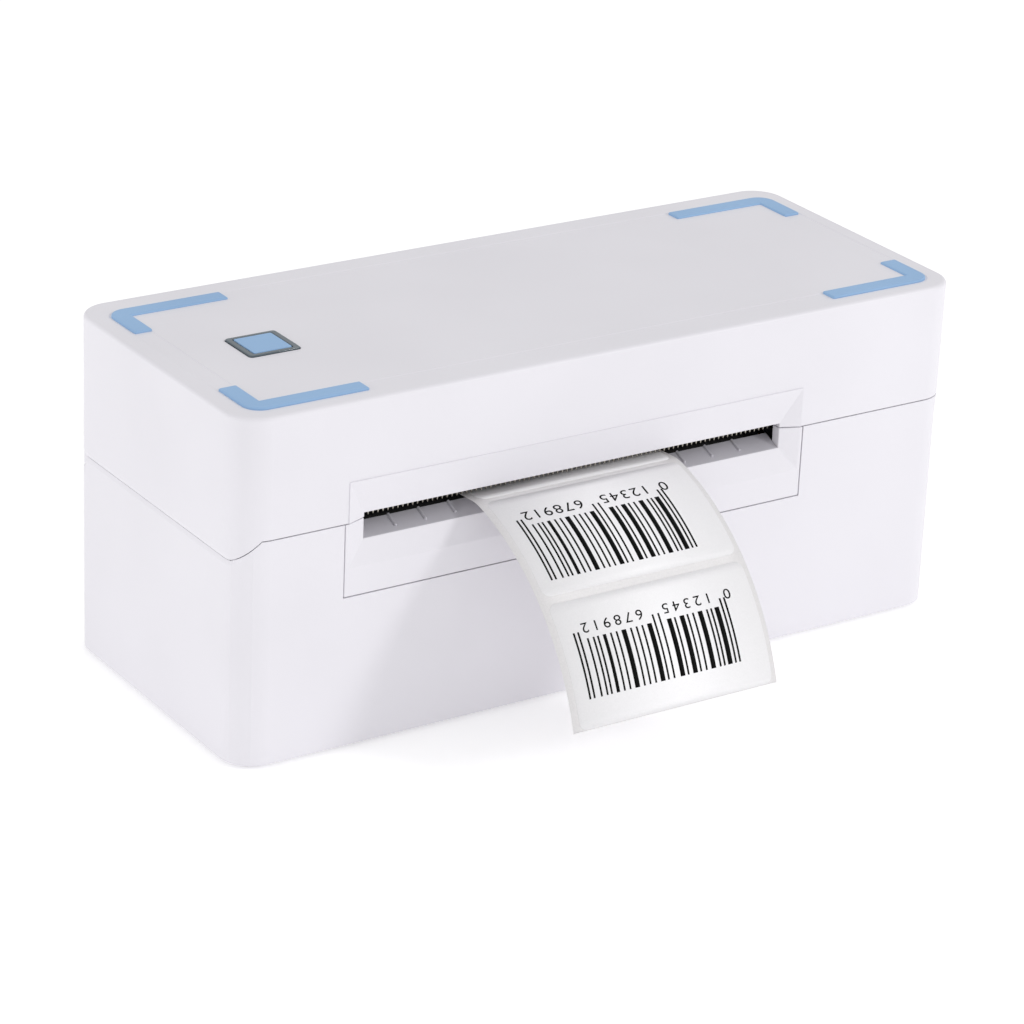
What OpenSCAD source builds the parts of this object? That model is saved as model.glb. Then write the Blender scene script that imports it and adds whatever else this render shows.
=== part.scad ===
// Desktop thermal label printer with a rear-hinged lid.
// X runs to the right seen from the front, Y to the back, Z up.
// The origin is on the surface it stands on, under the middle of the case.

/* [Case] */
// Width of the case, left to right
body_w = 205; // [205:1:215]
// Depth of the case, front to back
body_d = 83; // [83:1:88]
// Height of the lid's top above the surface
body_h = 88; // [86:1:92]
// Radius of the four upright corners
corner_r = 8.3; // [7:0.1:9]
// Wall thickness of the case and the lid
wall = 2.2; // [2:0.1:2.4]
// Height that the rubber feet lift the case
foot_lift = 1; // [0.8:0.1:1.4]

/* [Seam] */
// Height of the seam along the front
front_seam_z = 57.8; // [57:0.1:58.2]
// Height of the seam along the sides and back, which is the hinge height
side_seam_z = 52.2; // [51.5:0.1:52.6]
// Open gap at the seam
seam_gap = 0.3; // [0.2:0.1:0.5]
// Radius of the rolled rear edge of the lid
roll_r = 3.5; // [3.3:0.1:3.6]

/* [Label path] */
// Middle of the label path, left of the middle of the case
lane_x = -9.3; // [-9.6:0.1:-9]
// Width of the exit slot
slot_w = 119; // [117:1:120]
// Lower edge of the exit slot
slot_bottom_z = 52.5; // [52:0.1:53]
// Upper edge of the exit slot
slot_top_z = 59; // [58.8:0.1:59.4]
// Width of the backing paper
liner_w = 59; // [50:1:59]
// Width of a label
label_w = 56; // [48:1:57]
// Length of a label
label_len = 30; // [25:1:31]
// Gap between labels
label_gap = 2; // [2:0.5:3]
// Travel of each paper guide
guide_travel = 27; // [20:1:27]

/* [Drive] */
// Radius of the rubber platen roller
platen_r = 7; // [6.5:0.1:7]
// Radius of the platen shaft
shaft_r = 2.5; // [2:0.1:2.6]
// Gear module of the drive train
gear_m = 0.6; // [0.6:0.1:0.6]
// Teeth on the platen gear
platen_teeth = 30; // [30:1:30]
// Teeth on the small wheel of the idler
idler_small_teeth = 18; // [18:1:18]
// Teeth on the large wheel of the idler
idler_large_teeth = 46; // [46:1:46]
// Teeth on the motor pinion
motor_teeth = 12; // [12:1:12]

/* [Feed button] */
// Width of the square key
key_w = 10.2; // [9.5:0.1:10.2]
// Travel of the key
key_travel = 0.8; // [0.5:0.1:0.8]

/* [Hidden] */
$fn = 48;

half_w = body_w / 2;
half_d = body_d / 2;
in_x = half_w - wall;            // inner face of the side walls
in_y = half_d - wall;            // inner face of the front and back walls
top_t = 2.4;                     // thickness of the lid's top
ceiling_z = body_h - top_t;
fit = 0.06;                      // radial clearance of a running fit
hold = 0.02;                     // radial clearance of a pressed or screwed fit
far = 300;                       // longer than anything here

// Seam
half_gap = seam_gap / 2;
jog_x = -half_w + 6;             // the seam starts to drop here, at the front left
right_jog_y = -20;               // and here on the right side
jog_drop = front_seam_z - side_seam_z;

// Hinge
hinge_y = half_d - roll_r;
hinge_z = side_seam_z;
roll_clear = 0.4;
ear_x0 = 88;
ear_x1 = 92;
ear_r = 3.4;
hinge_pin_r = 1.5;
pin_window_x = 64;               // the pins slide in from a window in the roll

// Front slot and its bezel
slot_x0 = lane_x - slot_w / 2;
slot_x1 = lane_x + slot_w / 2;
bezel_w = 130.8;
bezel_bottom_z = 39.4;
bezel_gap = 0.25;
funnel_w = 129.2;                // outline of the funnel round the slot
funnel_top_z = 68.1;
funnel_bottom_z = 46.5;
funnel_depth = 1.8;
lip_y = -half_d + funnel_depth;
guide_back_y = -34.5;
guide_back_z = 54.7;
guide_t = 1.2;
rib_pitch = 8.23;
rib_count = 13;
rib_r = 0.35;
rib_len = 3.6;

// Platen and the label path over it
platen_y = -28;
platen_z = 48;
paper_gap = 0.3;                 // between the paper and each roller or head
liner_t = 0.2;
label_t = 0.15;
nip_z = platen_z + platen_r + paper_gap;
web_x = lane_x - 0.5;            // the roll of labels runs a little left of the middle
bend_y = -39.5;                  // the paper starts to bend down here
rise_deg = 3.5;
bend_r = 12;
hang_start_deg = 14;
hang_end_deg = 74;
hang_r = 60;
deck_front_y = -19.5;
deck_front_z = 53.2;
deck_back_y = 39;
deck_back_z = 35.5;
deck_t = 2;
web_lift = 0.5;                  // height of the paper over the deck
deck_slope = (deck_front_z - deck_back_z) / (deck_back_y - deck_front_y);
plate_in = 62.5;                 // chassis side plates, measured from the lane's middle
plate_t = 3;
plate_top_z = 54.5;
inlet_z0 = 34;
inlet_z1 = 43;
roller_half = slot_w / 2 - 0.5;
head_half = 58.5;

// Base
plate_z0 = 1.4;
plate_z1 = 3.6;
boss_x = half_w - 7;
boss_y = half_d - 7;
boss_r = 4.5;
boss_top_z = 30;
foot_x = 80;
foot_y = 28;
foot_r = 6;
pocket_top_z = 2.2;
screw_r = 1.25;
screw_head_r = 2.4;
tab_y = 24;
tab_t = 3;
board_x0 = 58.5;
board_x1 = 90;
board_y0 = -33;
board_y1 = 37;
board_z0 = 7.2;
board_t = 1.6;
usb_x = 66;
jack_x = 81.5;
rocker_x = 76;
rocker_z = 33;
rocker_w = 13;
rocker_h = 8.6;

// Drive train: the idler sits where its two centre distances meet
mesh_slack = 0.1;
motor_y = -3;
motor_z = 31;
motor_r = 17.5;
bracket_x0 = 68.4;
bracket_x1 = 70;
motor_x1 = 92;
bracket_holes = [[-33, 24], [17, 41], [14, 16]];       // y and z of its three screws
bracket_outline = [                                    // y and z of its corners
    [-37, 19.5], [-33, 19.5], [8, 12.5], [18, 12], [21, 15], [21, 43], [18, 46], [-26, 42], [-37, 28]];
small_dist = gear_m * (platen_teeth + idler_small_teeth) / 2 + mesh_slack;
large_dist = gear_m * (idler_large_teeth + motor_teeth) / 2 + mesh_slack;
axis_dist = norm([motor_y - platen_y, motor_z - platen_z]);
axis_deg = atan2(motor_z - platen_z, motor_y - platen_y);
along = (small_dist * small_dist - large_dist * large_dist + axis_dist * axis_dist) / (2 * axis_dist);
small_deg = axis_deg - acos(along / small_dist);
idler_y = platen_y + small_dist * cos(small_deg);
idler_z = platen_z + small_dist * sin(small_deg);
large_deg = atan2(motor_z - idler_z, motor_y - idler_y);
gear_x0 = 59;
gear_x1 = 62.4;
wheel_x0 = 64;
wheel_x1 = 67;

// Paper guides, moved by one pinion between two racks
rack_m = 1;
rack_teeth = 12;
rack_pitch_r = rack_m * rack_teeth / 2;
guide_pinion_z = 28;
guide_gap = 30.3;                // from the lane's middle to a guide's inner face
rack_y0 = 16.2;
rack_y1 = 22.2;
rack_t = 2.8;
guide_axle_r = 2;

// Lid interior
head_y0 = -33;
head_y1 = -13;
heater_z0 = nip_z + liner_t + label_t + paper_gap;
heater_t = 1;
sink_z0 = heater_z0 + heater_t;
sink_h = 6;
holder_z0 = 66.5;
holder_t = 1.5;
post_x = 54;                     // lid posts, measured from the lane's middle
post_front_y = -31;
post_back_y = -13;
post_r = 3.2;
spring_x = 35;
head_y = -22;
tear_y0 = -36.9;
tear_t = 0.6;
tear_tip_z = 56.8;
tear_top_z = 66;
tear_screw_z = 63.5;
holder_half = 61.4;
button_board_z1 = 77.6;
button_post_x = 16;
switch_z1 = 80;

// Flat cable to the print head
socket_h = 3;
cable_w = 10;
cable_x1 = 78;
cable_end_x = 12;
cable_y = 24.7;
cable_top_y = 24;
cable_y0 = -27;
cable_top_z = 72;

// Latch springs: y and z of the corners of one
latch_screw_z = 32;
latch_outline = [
    [-24.6, 24], [-24, 24], [-24, 62.8], [-20.6, 62.8], [-20, 62.2], [-19.6, 62.6], [-20.4, 63.4],
    [-24.6, 63.4]];
tooth_pitch = 1.35;
tooth_h = 1;
strike_y = -21.9;
strike_z = 61;
strike_r = 1.5;
latch_x0 = 94.5;
latch_x1 = 99;

// Feed button, on the lid's top at the left
key_x = -74.1;
key_y = -0.9;
key_top_z = body_h + 0.5;
frame_w = 13.6;
frame_d = 12.8;
frame_top_z = body_h + 0.4;
pad_long = 31;
pad_short = 15.4;
pad_w = 4.7;
pad_side = 5.1;
pad_front = 4.6;
pad_back = 7.4;
pad_r = 4.5;
pad_proud = 0.5;
pad_sunk = 0.6;

// ---- Shapes used by several pieces ----

module block(x0, x1, y0, y1, z0, z1) {
    translate([x0, y0, z0]) cube([x1 - x0, y1 - y0, z1 - z0]);
}

// A Y-Z outline drawn out along X
module along_x(x0, x1) {
    translate([x0, 0, 0]) rotate([90, 0, 90]) linear_extrude(x1 - x0) children();
}

// An X-Z outline drawn out along Y
module along_y(y0, y1) {
    translate([0, y1, 0]) rotate([90, 0, 0]) linear_extrude(y1 - y0) children();
}

module rod_x(x0, x1, y, z, r) {
    translate([x0, y, z]) rotate([0, 90, 0]) cylinder(h = x1 - x0, r = r);
}

module rod_y(y0, y1, x, z, r) {
    translate([x, y1, z]) rotate([90, 0, 0]) cylinder(h = y1 - y0, r = r);
}

module post(x, y, z0, z1, r) {
    translate([x, y, z0]) cylinder(h = z1 - z0, r = r);
}

module both_sides() {
    children();
    mirror([1, 0, 0]) children();
}

module four_corners(x, y) {
    for (sx = [-1, 1], sy = [-1, 1]) translate([sx * x, sy * y, 0]) children();
}

// The case's plan outline, pulled in by `inset`
module plan(inset) {
    w = half_w - inset;
    d = half_d - inset;
    r = corner_r - inset;
    square([2 * w, 2 * (d - r)], center = true);
    square([2 * (w - r), 2 * d], center = true);
    for (sx = [-1, 1], sy = [-1, 1]) translate([sx * (w - r), sy * (d - r)]) circle(r = r, $fn = 64);
}

module prism(inset, z0, z1) {
    translate([0, 0, z0]) linear_extrude(z1 - z0) plan(inset);
}

// The raised front part of the seam, with its top moved by `dz`
module seam_step(dz) {
    intersection() {
        along_y(-far, far) polygon([
            [jog_x - jog_drop - 2, side_seam_z - 2 + dz], [jog_x, front_seam_z + dz],
            [far, front_seam_z + dz], [far, side_seam_z - 2]]);
        along_x(-far, far) polygon([
            [-far, side_seam_z - 2], [-far, front_seam_z + dz], [right_jog_y, front_seam_z + dz],
            [right_jog_y + jog_drop + 2, side_seam_z - 2 + dz]]);
    }
}

// A countersunk-free machine screw pointing along +Z, head below `z0`
module screw(z0, length, head_h = 1.6) {
    translate([0, 0, z0]) cylinder(h = length, r = screw_r);
    translate([0, 0, z0 - head_h]) cylinder(h = head_h, r = screw_head_r);
}

function polar(r, a) = [r * cos(a), r * sin(a)];

// A spur gear outline with straight-sided teeth; one tooth points along `phase`
module gear_outline(teeth, m, phase) {
    pitch_r = m * teeth / 2;
    tip_r = pitch_r + 0.8 * m;
    root_r = pitch_r - 1.15 * m;
    step = 360 / teeth;
    polygon([for (i = [0:teeth - 1]) let (a = phase + i * step) each [
        polar(root_r, a - 0.33 * step), polar(pitch_r, a - 0.2 * step), polar(tip_r, a - 0.09 * step),
        polar(tip_r, a + 0.09 * step), polar(pitch_r, a + 0.2 * step), polar(root_r, a + 0.33 * step)]]);
}

// The turn that puts a mating gear's gap on a tooth of the first gear
function mate_phase(teeth_a, phase_a, teeth_b, line_deg) =
    line_deg + 180 - (0.5 - (line_deg - phase_a) * teeth_a / 360) * 360 / teeth_b;

// ---- Base: case, feet and front ----

module lower_case() {
    color("whitesmoke") {
        difference() {
            intersection() {
                prism(0, foot_lift, body_h);
                union() {
                    block(-far, far, -far, hinge_y, 0, side_seam_z - half_gap);
                    block(-far, far, -far, far, 0, hinge_z - roll_r - roll_clear - 0.1);
                    seam_step(-half_gap);
                }
            }
            prism(wall, 0, body_h);
            rod_x(-far, far, hinge_y, hinge_z, roll_r + roll_clear);
            front_window();
            rear_openings();
        }
        hinge_ears();
        difference() {
            four_corners(boss_x, boss_y) post(0, 0, plate_z1, boss_top_z, boss_r);
            four_corners(boss_x, boss_y) post(0, 0, 0, boss_top_z - 4, screw_r + hold);
            difference() {
                block(-far, far, -far, far, 0, far);
                prism(0.5, 0, far);
            }
        }
        latch_pillars();
    }
}

module front_window() {
    block(lane_x - bezel_w / 2 - bezel_gap, lane_x + bezel_w / 2 + bezel_gap, -far, -in_y + 1,
        bezel_bottom_z - bezel_gap, far);
}

module rear_openings() {
    block(lane_x - plate_in + 2, lane_x + plate_in - 2, in_y - 1, far, inlet_z0, inlet_z1);
    block(usb_x - 6.3, usb_x + 6.3, in_y - 1, far, board_z0 + board_t - 0.2, board_z0 + board_t + 11.5);
    block(jack_x - 4.8, jack_x + 4.8, in_y - 1, far, board_z0 + board_t - 0.2, board_z0 + board_t + 11.3);
    block(rocker_x - rocker_w / 2 - 1.3, rocker_x + rocker_w / 2 + 1.3, in_y - 1, far,
        rocker_z - rocker_h / 2 - 1.3, rocker_z + rocker_h / 2 + 1.3);
}

module hinge_ears() {
    both_sides() difference() {
        union() {
            rod_x(ear_x0, ear_x1, hinge_y, hinge_z, ear_r);
            block(ear_x0, ear_x1, hinge_y - ear_r, hinge_y, 40, hinge_z);
            block(ear_x0, ear_x1, hinge_y - ear_r, in_y + 0.5, 40, hinge_z - roll_r - roll_clear - 0.1);
        }
        rod_x(ear_x0 - 1, ear_x1 + 1, hinge_y, hinge_z, hinge_pin_r + hold);
    }
}

module latch_pillars() {
    both_sides() difference() {
        block(latch_x0, in_x + 0.5, -24, -20, plate_z1, 40);
        rod_y(-25, -21, (latch_x0 + latch_x1) / 2, 32, 1 + hold);
    }
}

module bottom_plate() {
    color("whitesmoke") difference() {
        union() {
            prism(wall + 0.2, plate_z0, plate_z1);
            board_posts() post(0, 0, plate_z1, board_z0, 2.6);
        }
        four_corners(boss_x, boss_y) {
            post(0, 0, 0, plate_z1 + 1, screw_r + 0.15);
            post(0, 0, 0, plate_z0 + 1, screw_head_r + 0.3);
        }
        four_corners(foot_x, foot_y) post(0, 0, 0, pocket_top_z, foot_r + 0.1);
        board_posts() post(0, 0, pocket_top_z, far, screw_r + hold);
        chassis_tab_places() post(0, 0, pocket_top_z, plate_z1 + 1, screw_r + hold);
        for (i = [-4:4]) block(lane_x + 9 * i - 1, lane_x + 9 * i + 1, -12, 12, 0, plate_z1 + 1);
    }
}

module rubber_feet() {
    color("dimgray") four_corners(foot_x, foot_y) post(0, 0, 0, pocket_top_z, foot_r);
}

module case_screws() {
    color("silver") four_corners(boss_x, boss_y) screw(plate_z0 + 1, 9, 0.9);
}

module funnel(z_low, z_high_out, z_high_in) {
    hull() {
        block(lane_x - funnel_w / 2, lane_x + funnel_w / 2, -half_d - 0.1, -half_d, z_low, z_high_out);
        block(slot_x0, slot_x1, lip_y, lip_y + 0.01, slot_bottom_z, z_high_in);
    }
}

module front_bezel() {
    front_top = front_seam_z - half_gap;
    color("whitesmoke") {
        difference() {
            union() {
                block(lane_x - bezel_w / 2, lane_x + bezel_w / 2, -half_d, -in_y, bezel_bottom_z, front_top);
                block(lane_x - bezel_w / 2 - 2, lane_x + bezel_w / 2 + 2, -in_y + 0.1, -in_y + 1.3,
                    bezel_bottom_z - 3, front_top - 1);
                block(lane_x - bezel_w / 2, lane_x + bezel_w / 2, -in_y - 0.1, -in_y + 0.2,
                    bezel_bottom_z, front_top - 1);
            }
            funnel(funnel_bottom_z, far, far);
            block(slot_x0, slot_x1, -far, 0, slot_bottom_z, far);
        }
        along_x(slot_x0 - 0.5, slot_x1 + 0.5) polygon([
            [lip_y, slot_bottom_z - 1.6], [lip_y, slot_bottom_z],
            [guide_back_y, guide_back_z], [guide_back_y, guide_back_z - guide_t]]);
        for (i = [-(rib_count - 1) / 2:(rib_count - 1) / 2]) guide_rib(web_x + i * rib_pitch);
    }
}

// A half-round rib on the sloping guide, with a ball at its front end
module guide_rib(x) {
    slope = atan2(guide_back_z - slot_bottom_z, guide_back_y - lip_y);
    translate([x, guide_back_y, guide_back_z + 0.1]) rotate([90 + slope, 0, 0])
        cylinder(h = rib_len, r = rib_r, $fn = 16);
}

// ---- Base: chassis, deck and label path ----

module plate_side() {
    polygon([[-36, plate_z1], [34, plate_z1], [34, 40], [-10, 53.5], [-20, plate_top_z], [-36, plate_top_z]]);
}

module chassis_tab_places() {
    for (x = [lane_x - plate_in - plate_t - 4, lane_x + plate_in - 4], sy = [-1, 1])
        translate([x, sy * tab_y, 0]) children();
}

module chassis() {
    color("dimgray") difference() {
        union() {
            along_x(lane_x - plate_in - plate_t, lane_x - plate_in) plate_side();
            along_x(lane_x + plate_in, lane_x + plate_in + plate_t) plate_side();
            along_x(lane_x - plate_in - 0.5, lane_x + plate_in + 0.5) polygon([
                [deck_front_y, deck_front_z], [deck_front_y, deck_front_z - deck_t],
                [deck_back_y, deck_back_z - deck_t], [deck_back_y, deck_back_z]]);
            block(lane_x - plate_in - 0.5, lane_x + plate_in + 0.5, -36, -33.5, 30, 36);
            block(lane_x - 4, lane_x + 4, 9, 15.5, 23, 42);
            chassis_tab_places() block(-4.5, 4.5, -4, 4, plate_z1, plate_z1 + tab_t);
            bracket_posts() rod_x(lane_x + plate_in + 1, bracket_x0, 0, 0, 3);
        }
        rod_x(-far, far, platen_y, platen_z, 5);
        block(lane_x - plate_in + 0.8, lane_x - guide_gap + 0.4, 17.2, 21.2, 30, 60);
        block(lane_x + guide_gap - 0.4, lane_x + plate_in - 0.8, 22.9, 26.3, 30, 60);
        block(lane_x - 4.5, lane_x + 4.5, -5, 5, 43, 60);
        rod_y(0, 16, lane_x, guide_pinion_z, guide_axle_r + hold);
        rod_x(0, far, idler_y, idler_z, hinge_pin_r + hold);
        chassis_tab_places() post(0, 0, 0, plate_z1 + tab_t + 1, screw_r + 0.15);
        bracket_posts() rod_x(lane_x + plate_in - 1, far, 0, 0, screw_r + hold);
    }
}

module chassis_screws() {
    color("silver") chassis_tab_places()
        translate([0, 0, plate_z1 + tab_t]) mirror([0, 0, 1]) screw(0, 4, 1.6);
}

module platen_bushes() {
    color("goldenrod") for (x = [lane_x - plate_in - plate_t - 0.4, lane_x + plate_in - 0.4]) difference() {
        rod_x(x, x + plate_t + 0.8, platen_y, platen_z, 5 - hold);
        rod_x(x - 1, x + plate_t + 2, platen_y, platen_z, shaft_r + fit);
    }
}

module gap_sensor() {
    color("black") {
        block(lane_x - 3.5, lane_x + 3.5, -4, 4, 41, 45.4);
        block(lane_x - 6, lane_x + 6, -6, 6, 39.4, 41);
    }
}

// One side of the paper as a Y-Z outline: its underside is `lift` over the path's line
function web_line(lift) = concat(
    [[38, deck_back_z + web_lift + (deck_back_y - 38) * deck_slope + lift]],
    [[deck_front_y - 2, nip_z - 0.3 + lift], [platen_y, nip_z + lift]],
    [for (a = [-rise_deg:4:hang_start_deg]) arc_point(bend_y, bend_z(), bend_r + lift, -rise_deg, a, lift)],
    [for (a = [hang_start_deg:5:hang_end_deg])
        arc_point(hang_y(), hang_z(), hang_r + lift, hang_start_deg, a, lift)]);

function bend_z() = nip_z + (platen_y - bend_y) * tan(rise_deg);
function hang_y() = bend_y - bend_r * (sin(hang_start_deg) + sin(rise_deg));
function hang_z() = bend_z() - bend_r * (cos(rise_deg) - cos(hang_start_deg));

// The point on an arc that starts at (y, z) with tangent `a0` below level and has turned to `a`
function arc_point(y, z, r, a0, a, lift) = [
    y - lift * sin(a0) - r * (sin(a) - sin(a0)), z + lift * cos(a0) - r * (cos(a0) - cos(a))];

function reversed(v) = [for (i = [len(v) - 1:-1:0]) v[i]];

module label_liner() {
    color("gainsboro") along_x(web_x - liner_w / 2, web_x + liner_w / 2)
        polygon(concat(web_line(0), reversed(web_line(liner_t))));
}

// One side of a label on the hanging arc between two angles, bent where the backing paper bends
function label_edge(a0, a1, lift) = [
    for (a = concat([a0], [for (k = [hang_start_deg:5:hang_end_deg]) if (k > a0 && k < a1) k], [a1]))
        arc_point(hang_y(), hang_z(), hang_r + lift, hang_start_deg, a, lift)];

// A label on the hanging arc, from `s` millimetres after the arc's start
module hanging_label(s) {
    a0 = hang_start_deg + s / hang_r * 180 / PI;
    a1 = a0 + label_len / hang_r * 180 / PI;
    along_x(web_x - label_w / 2, web_x + label_w / 2)
        polygon(concat(label_edge(a0, a1, liner_t), reversed(label_edge(a0, a1, liner_t + label_t))));
}

// The point where the paper starts to bend down, on the side that is `lift` over its underside
function bend_point(lift) = arc_point(bend_y, bend_z(), bend_r + lift, -rise_deg, -rise_deg, lift);

module labels() {
    color("white") {
        hanging_label(0.2);
        hanging_label(0.2 + label_len + label_gap);
        along_x(web_x - label_w / 2, web_x + label_w / 2) polygon([
            bend_point(liner_t), [platen_y, nip_z + liner_t],
            [platen_y, nip_z + liner_t + label_t], bend_point(liner_t + label_t)]);
    }
}

// ---- Base: drive and electronics ----

module bracket_posts() {
    for (p = bracket_holes) translate([0, p[0], p[1]]) children();
}

module stepper_motor() {
    color("silver") {
        rod_x(bracket_x1, motor_x1, motor_y, motor_z, motor_r);
        rod_x(bracket_x0 + 0.4, bracket_x1, motor_y, motor_z, 5);
    }
}

module motor_bracket() {
    color("silver") difference() {
        along_x(bracket_x0, bracket_x1) polygon(bracket_outline);
        rod_x(0, far, motor_y, motor_z, 5 + hold);
        rod_x(0, far, idler_y, idler_z, hinge_pin_r + hold);
        bracket_posts() rod_x(0, far, 0, 0, screw_r + 0.15);
    }
}

module bracket_screws() {
    color("silver") bracket_posts() translate([bracket_x1, 0, 0]) rotate([0, -90, 0]) screw(0, 7, 1.6);
}

module idler_axle() {
    color("silver") rod_x(lane_x + plate_in, bracket_x1, idler_y, idler_z, hinge_pin_r);
}

module guide_axle() {
    color("silver") rod_y(9.5, 23.4, lane_x, guide_pinion_z, guide_axle_r);
}

module board_posts() {
    for (x = [board_x0 + 4, board_x1 - 4], y = [board_y0 + 4, board_y1 - 20]) translate([x, y, 0]) children();
}

module main_board() {
    z = board_z0 + board_t;
    color("seagreen") difference() {
        union() {
            block(board_x0, board_x1, board_y0, board_y1, board_z0, z);
            block(66, 76, -12, -2, z, z + 1.2);
            block(62, 66, 6, 14, z, z + 1);
            block(78, 84, -27, -21, z, z + 2);
            for (i = [0:2]) post(70 + 5 * i, 4, z, z + 2.2, 1.6);
            block(66, 80, 23.4, 26.4, z, z + socket_h);
        }
        board_posts() post(0, 0, 0, far, screw_r + 0.15);
    }
}

module board_screws() {
    color("silver") board_posts()
        translate([0, 0, board_z0 + board_t]) mirror([0, 0, 1]) screw(0, 5, 1.4);
}

module usb_socket() {
    z = board_z0 + board_t;
    color("silver") difference() {
        block(usb_x - 6, usb_x + 6, 28, half_d - 0.3, z, z + 11);
        block(usb_x - 4.4, usb_x + 4.4, 32, half_d, z + 1.6, z + 9.4);
    }
    color("ivory") block(usb_x - 2.8, usb_x + 2.8, 31.5, half_d - 2, z + 3.9, z + 7.1);
}

module power_socket() {
    z = board_z0 + board_t;
    color("black") difference() {
        block(jack_x - 4.5, jack_x + 4.5, 28, half_d - 0.3, z, z + 11);
        rod_y(32, half_d, jack_x, z + 6.2, 3.2);
    }
    color("silver") rod_y(31.5, half_d - 1.5, jack_x, z + 6.2, 1);
}

module switch_housing() {
    color("black") difference() {
        union() {
            block(rocker_x - rocker_w / 2 - 1.2, rocker_x + rocker_w / 2 + 1.2, 28, half_d,
                rocker_z - rocker_h / 2 - 1.2, rocker_z + rocker_h / 2 + 1.2);
            block(rocker_x - rocker_w / 2 - 2.4, rocker_x + rocker_w / 2 + 2.4, half_d, half_d + 1.2,
                rocker_z - rocker_h / 2 - 2.4, rocker_z + rocker_h / 2 + 2.4);
        }
        block(rocker_x - rocker_w / 2, rocker_x + rocker_w / 2, 32, far,
            rocker_z - rocker_h / 2, rocker_z + rocker_h / 2);
        rod_z_bore();
    }
}

// The rocker turns about an upright pin through its housing
module rod_z_bore() {
    translate([rocker_x, half_d - 1.5, rocker_z - rocker_h / 2 - 1]) cylinder(h = rocker_h + 2, r = 0.8 + fit);
}

module power_rocker() {
    h = rocker_h - 0.6;
    color("black") {
        translate([0, 0, rocker_z - h / 2]) linear_extrude(h) polygon([
            [rocker_x - 5.6, half_d - 2.2], [rocker_x + 5.6, half_d - 2.2],
            [rocker_x + 5.6, half_d + 0.2], [rocker_x, half_d + 1.4], [rocker_x - 5.6, half_d + 2.6]]);
        translate([rocker_x, half_d - 1.5, rocker_z - rocker_h / 2 - 0.8])
            cylinder(h = rocker_h + 1.6, r = 0.8);
    }
}

// ---- Base: latch, hinge and cable ----

module latch_springs() {
    color("silver") both_sides() difference() {
        along_x(latch_x0, latch_x1) polygon(latch_outline);
        rod_y(-26, -23, (latch_x0 + latch_x1) / 2, latch_screw_z, 1.15);
    }
}

module latch_screws() {
    color("silver") both_sides() {
        rod_y(-24.6, -21.5, (latch_x0 + latch_x1) / 2, latch_screw_z, 1);
        rod_y(-25.8, -24.6, (latch_x0 + latch_x1) / 2, latch_screw_z, 2);
    }
}

module hinge_pins() {
    color("silver") both_sides() rod_x(80, ear_x1, hinge_y, hinge_z, hinge_pin_r);
}

// A flat cable from the main board, past the hinge and across the lid to the print head
module head_cable() {
    t = 0.3;
    z = board_z0 + board_t + socket_h;
    color("white") {
        along_x(cable_x1 - cable_w, cable_x1) polygon([
            [cable_y, z], [cable_y + t, z], [cable_y + t, 22], [cable_top_y + t, 50],
            [cable_top_y + t, cable_top_z], [cable_y0, cable_top_z], [cable_y0, cable_top_z - t],
            [cable_top_y, cable_top_z - t], [cable_top_y, 50], [cable_y, 22]]);
        block(cable_end_x, cable_x1, cable_y0, cable_y0 + cable_w, cable_top_z, cable_top_z + t);
        block(cable_end_x - t, cable_end_x, cable_y0, cable_y0 + cable_w, sink_z0 + sink_h + 0.2,
            cable_top_z + t);
    }
}

// ---- Lid ----

module pad_outline(grow) {
    x0 = half_w - pad_side + grow;
    y0 = -half_d + pad_front - grow;
    y1 = half_d - pad_back + grow;
    difference() {
        union() {
            square_between(-x0, x0, y0 + pad_r, y1 - pad_r);
            square_between(-x0 + pad_r, x0 - pad_r, y0, y1);
            for (sx = [-1, 1], y = [y0 + pad_r, y1 - pad_r]) translate([sx * (x0 - pad_r), y]) circle(r = pad_r);
        }
        square_between(-x0 + pad_w + 2 * grow, x0 - pad_w - 2 * grow,
            y0 + pad_w + 2 * grow, y1 - pad_w - 2 * grow);
        square_between(-x0 + pad_long + 2 * grow, x0 - pad_long - 2 * grow, -far, far);
        square_between(-far, far, y0 + pad_short + 2 * grow, y1 - pad_short - 2 * grow);
    }
}

module square_between(x0, x1, y0, y1) {
    translate([x0, y0]) square([x1 - x0, y1 - y0]);
}

module lid_posts() {
    for (x = [lane_x - post_x, lane_x + post_x], y = [post_front_y, post_back_y])
        translate([x, y, 0]) children();
}

module button_posts() {
    for (x = [key_x - button_post_x, key_x + button_post_x]) translate([x, key_y, 0]) children();
}

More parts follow.
